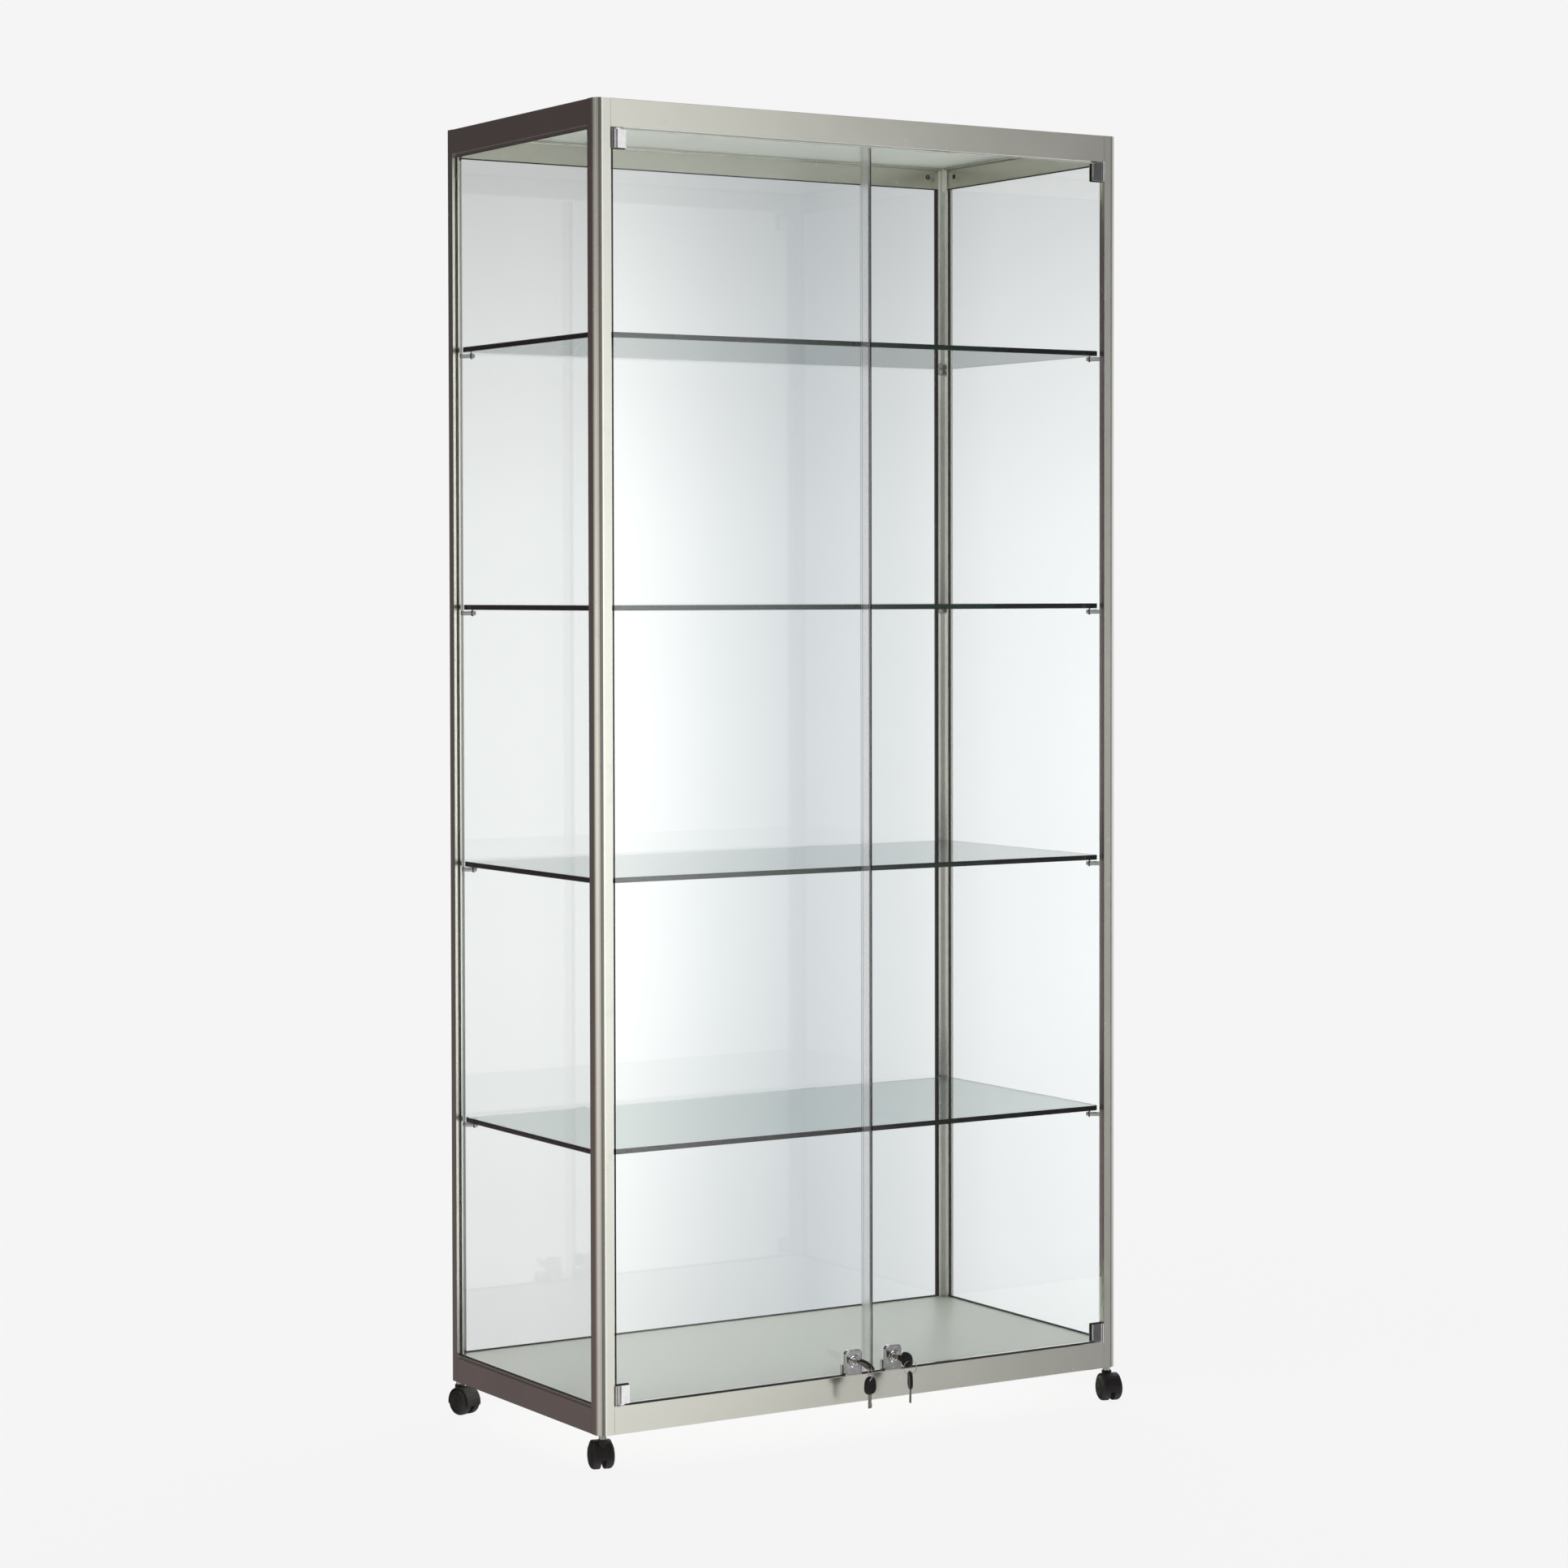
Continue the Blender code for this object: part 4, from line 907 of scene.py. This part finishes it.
def add_neck(bm, key):
    """Plastic neck that widens from the blade into the bow."""
    half_height = 4.3 * MM
    half_width = 1.65 * MM
    corners = (
        (-half_height, -half_width), (half_height, -half_width), (half_height, half_width),
        (-half_height, half_width),
    )
    stages = ((NECK - NECK_PLASTIC, 0.92), (NECK - 3 * MM, 1.0), (NECK + 3 * MM, 1.35))
    add_rings(bm, [[key @ Vector((x, y * scale, z)) for y, z in corners] for x, scale in stages])
    round_edges(bm, NECK_ROUNDING, 3)


def build_key(side):
    """Blade, neck and bow of the key in the lock, which turn with the plug."""
    body = f"{side}_key"
    key = key_place(side)[1]
    bm = bmesh.new()
    add_blade(bm, -BLADE_ENTRY, NECK - NECK_PLASTIC + BLADE_IN_NECK, key)
    piece(f"key_blade_{side}", bm, "nickel_silver", body)
    bm = bmesh.new()
    add_neck(bm, key)
    piece(f"key_neck_{side}", bm, "bow_plastic", body)
    bow = bow_object(f"key_bow_{side}", key @ Matrix.Translation((NECK, 0, 0)))
    finish_piece(bow, "bow_plastic", body)


def build_spare(side):
    """Spare key, hanging by its bow, and the wire ring that joins it to the key in the lock."""
    body = f"{side}_spare_key"
    hole = joint_place(f"{side}_spare_key_swing")
    hang = Matrix.Translation(hole) @ Matrix.Rotation(SPARE_TWIST[side], 4, "Z")
    bow_foot = -RING_DROP + BOW_HOLE_FROM_END - BOW_LENGTH
    # local X runs up from the blade to the bow's far end
    upright = Matrix(((0, 1, 0, 0), (0, 0, 1, 0), (1, 0, 0, bow_foot), (0, 0, 0, 1)))
    place = hang @ upright
    bow = bow_object(f"spare_bow_{side}", place)
    finish_piece(bow, "bow_plastic", body, [f"spare_key_{side}"])
    bm = bmesh.new()
    add_blade(bm, SPARE_BLADE_IN_BOW, -SPARE_BLADE, place, CUTS)
    piece(f"spare_blade_{side}", bm, "nickel_silver", body)
    bm = bmesh.new()
    centre = hole - Vector((0, 0, RING_DROP / 2))
    across = Vector(RING_DIRECTION[side]).normalized()
    normal = across.cross(Vector((0, 0, 1)))
    add_torus(bm, turned_to(normal, centre), RING_DROP / 2, RING_WIRE, FINE_STEPS)
    piece(f"key_ring_{side}", bm, "steel", body)


# ---------------------------------------------------------------- hinges

PAD = 0.25 * MM
PAD_BORDER = 1.2 * MM               # how far a pad shows round its clamp
PAD_GAP = 0.02 * MM                 # between a pad and the glass
HINGE_SCREW_INSET = 8 * MM          # from the clamp's inner end
HINGE_SCREW = ((3.4, -0.2), (3.4, 0.3), (3.1, 0.7), (1.7, 0.8), (1.5, 0.3))


def build_hinge_details(side, end):
    """Dark pads between the clamp and the glass, and the clamp's grub screw on the inside."""
    sign = -1 if side == "left" else 1
    low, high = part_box(f"hinge_clamp_{end}_{side}")
    glass_low, glass_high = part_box(f"door_glass_{side}")
    inner = high.x if sign < 0 else low.x
    outer = glass_low.x if sign < 0 else glass_high.x
    xs = sorted((outer, inner - sign * PAD_BORDER))
    zs = [low.z - PAD_BORDER, high.z] if end == "top" else [low.z, high.z + PAD_BORDER]
    bm = bmesh.new()
    for front in (glass_low.y - PAD - PAD_GAP, glass_high.y + PAD_GAP):
        add_box(bm, (xs[0], front, zs[0]), (xs[1], front + PAD, zs[1]))
    piece(f"hinge_pad_{end}_{side}", bm, "rubber", f"{side}_door")

    bm = bmesh.new()
    middle = Vector((inner + sign * HINGE_SCREW_INSET, high.y, (low.z + high.z) / 2))
    add_lathe(bm, HINGE_SCREW, turned_to((0, 1, 0), middle), SCREW_STEPS)
    piece(f"hinge_screw_{end}_{side}", bm, "steel", f"{side}_door")


# ---------------------------------------------------------------- frame details

POST = 24 * MM
RAIL_WALL = 14 * MM
PANE = 5 * MM
PANE_SLOT = 6 * MM
PEG_MIDDLE = 19 * MM                # from a post's outer faces to its bevel's middle
PEG_RING_PLACE = 16.2 * MM
PEG_RING_OUTER = 4.95 * MM
PEG_RING_WIRE = 1.05 * MM
PEG_RING_STEPS = 28
BEAD_PROUD = 1.0 * MM
BEAD_INSET = 0.6 * MM               # how far a bead reaches into the frame
BEAD_WALL = 0.35 * MM               # how far it covers the slot's wall
SCREW_RISE = 18 * MM                # from the rear top rail's lower edge up to the screws
SCREW_FROM_POST = 20 * MM
RAIL_SCREW_STEPS = 28
RAIL_SCREW = ((4.0, -0.3), (4.0, 0.2), (3.6, 0.5), (2.0, 0.5), (1.6, 0.0))
STRIP_HEIGHT = 1.4 * MM
STRIP_INSET = 0.4 * MM
STRIP_END_GAP = 0.6 * MM
STRIP_SINK = 0.2 * MM
STRIP_ROUNDING = 0.3 * MM


def outer_corner(corner):
    """Outer corner of a post in plan, and the signs that point inwards from it."""
    low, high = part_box(f"post_{corner}")
    x, inward_x = (low.x, 1) if "left" in corner else (high.x, -1)
    y, inward_y = (low.y, 1) if "front" in corner else (high.y, -1)
    return x, y, inward_x, inward_y


def build_peg_rings(corner):
    """Rubber rings on the pegs' collars, which the shelves rest on."""
    x, y, inward_x, inward_y = outer_corner(corner)
    direction = Vector((inward_x, inward_y, 0)).normalized()
    bm = bmesh.new()
    for number in (1, 2, 3, 4):
        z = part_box(f"shelf_{number}")[0].z - PEG_RING_OUTER
        start = Vector((x + inward_x * PEG_MIDDLE, y + inward_y * PEG_MIDDLE, z))
        place = turned_to(direction, start + direction * PEG_RING_PLACE)
        add_torus(bm, place, PEG_RING_OUTER - PEG_RING_WIRE, PEG_RING_WIRE, PEG_RING_STEPS)
    piece(f"peg_rings_{corner}", bm, "rubber", "cabinet")


def build_beads(face):
    """Rubber beads on both sides of a pane, in the mouths of the slots that hold it."""
    low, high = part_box(f"glass_{face}")
    along_x = face == "rear"
    first_post = "rear_left" if along_x else f"front_{face}"
    last_post = "rear_left" if face == "left" else "rear_right"
    if along_x:
        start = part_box(f"post_{first_post}")[1].x
        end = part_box(f"post_{last_post}")[0].x
        middle = (low.y + high.y) / 2
    else:
        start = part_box(f"post_{first_post}")[1].y
        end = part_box(f"post_{last_post}")[0].y
        middle = (low.x + high.x) / 2
    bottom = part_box(f"bottom_rail_{face}")[1].z
    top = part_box(f"top_rail_{face}")[0].z
    lengths = (
        (start - BEAD_INSET, end + BEAD_INSET, bottom - BEAD_INSET, bottom + BEAD_PROUD),
        (start - BEAD_INSET, end + BEAD_INSET, top - BEAD_PROUD, top + BEAD_INSET),
        (start - BEAD_INSET, start + BEAD_PROUD, bottom, top),
        (end - BEAD_PROUD, end + BEAD_INSET, bottom, top),
    )
    bm = bmesh.new()
    for sign in (-1, 1):
        near, far = sorted((middle + sign * PANE / 2, middle + sign * (PANE_SLOT / 2 + BEAD_WALL)))
        for a, b, z0, z1 in lengths:
            if along_x:
                add_box(bm, (a, near, z0), (b, far, z1))
            else:
                add_box(bm, (near, a, z0), (far, b, z1))
    piece(f"pane_beads_{face}", bm, "rubber", "cabinet")


def build_dust_strip():
    """Low rubber strip on the bottom rail, under the doors and clear of the locks' straps."""
    glass_low, glass_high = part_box("door_glass_left")
    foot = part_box("bottom_rail_front")[1].z
    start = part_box("hinge_bracket_bottom_left")[1].x + STRIP_END_GAP
    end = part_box("hinge_bracket_bottom_right")[0].x - STRIP_END_GAP
    bm = bmesh.new()
    front = glass_low.y + STRIP_INSET
    add_box(bm, (start, front, foot - STRIP_SINK), (end, glass_high.y, foot + STRIP_HEIGHT))
    round_edges(bm, STRIP_ROUNDING, 2)
    piece("dust_strip", bm, "rubber", "cabinet")


def build_rail_screws():
    """Black countersunk screws beside the rear right post, on the top rails' inner faces."""
    x, y, inward_x, inward_y = outer_corner("rear_right")
    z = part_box("top_rail_rear")[0].z + SCREW_RISE
    reach = POST + SCREW_FROM_POST
    bm = bmesh.new()
    on_rear = turned_to((0, -1, 0), (x + inward_x * reach, y - RAIL_WALL, z))
    on_right = turned_to((-1, 0, 0), (x - RAIL_WALL, y + inward_y * reach, z))
    for place in (on_rear, on_right):
        add_lathe(bm, RAIL_SCREW, place, RAIL_SCREW_STEPS)
    piece("rail_screws", bm, "black_nylon", "cabinet")


# ---------------------------------------------------------------- castors

WHEEL_PROFILE = (                   # (radius, distance from the hood's middle), in millimetres
    (3.0, 3.4), (18.6, 3.4), (19.2, 3.6), (19.5, 4.1), (19.5, 10.4), (19.4, 11.3), (19.1, 12.3), (18.5, 13.5),
    (17.8, 14.4), (16.8, 15.3), (15.6, 16.0), (14.4, 16.5), (13.3, 16.8), (13.0, 16.3), (12.4, 16.3),
    (12.1, 16.9), (10.0, 17.2), (6.0, 17.4), (5.6, 16.9), (5.0, 16.9), (4.6, 17.3), (2.0, 17.45),
)


def build_wheel(corner, label):
    """Wheel with a crowned tread, a rim groove and a hub boss on its outer face."""
    name = f"wheel_{corner}_{label}"
    joint = JOINTS[f"{name}_spin"]
    place = Vector(joint["pos_m"])
    axis = Vector(joint["axis"])
    low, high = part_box(f"castor_{name}")
    if ((low + high) / 2 - place).dot(axis) < 0:
        axis = -axis
    place.z = (low.z + high.z) / 2
    bm = bmesh.new()
    add_lathe(bm, WHEEL_PROFILE, turned_to(axis, place), WHEEL_STEPS)
    piece(f"castor_tyre_{corner}_{label}", bm, "wheel_nylon", name, [f"castor_{name}"])


# ---------------------------------------------------------------- assembly


add_camera()
add_world()
add_floor()
dress_nodes()
for lock_side in SIDES:
    build_lock_case(lock_side)
    build_lock_strap(lock_side)
    build_lock_bezel(lock_side)
    build_plug(lock_side)
    build_key(lock_side)
    build_spare(lock_side)
    for hinge_end in ("top", "bottom"):
        build_hinge_details(lock_side, hinge_end)
for pane_face in ("left", "right", "rear"):
    build_beads(pane_face)
build_rail_screws()
build_dust_strip()
for frame_corner in CORNERS:
    build_peg_rings(frame_corner)
    for wheel_label in ("a", "b"):
        build_wheel(frame_corner, wheel_label)
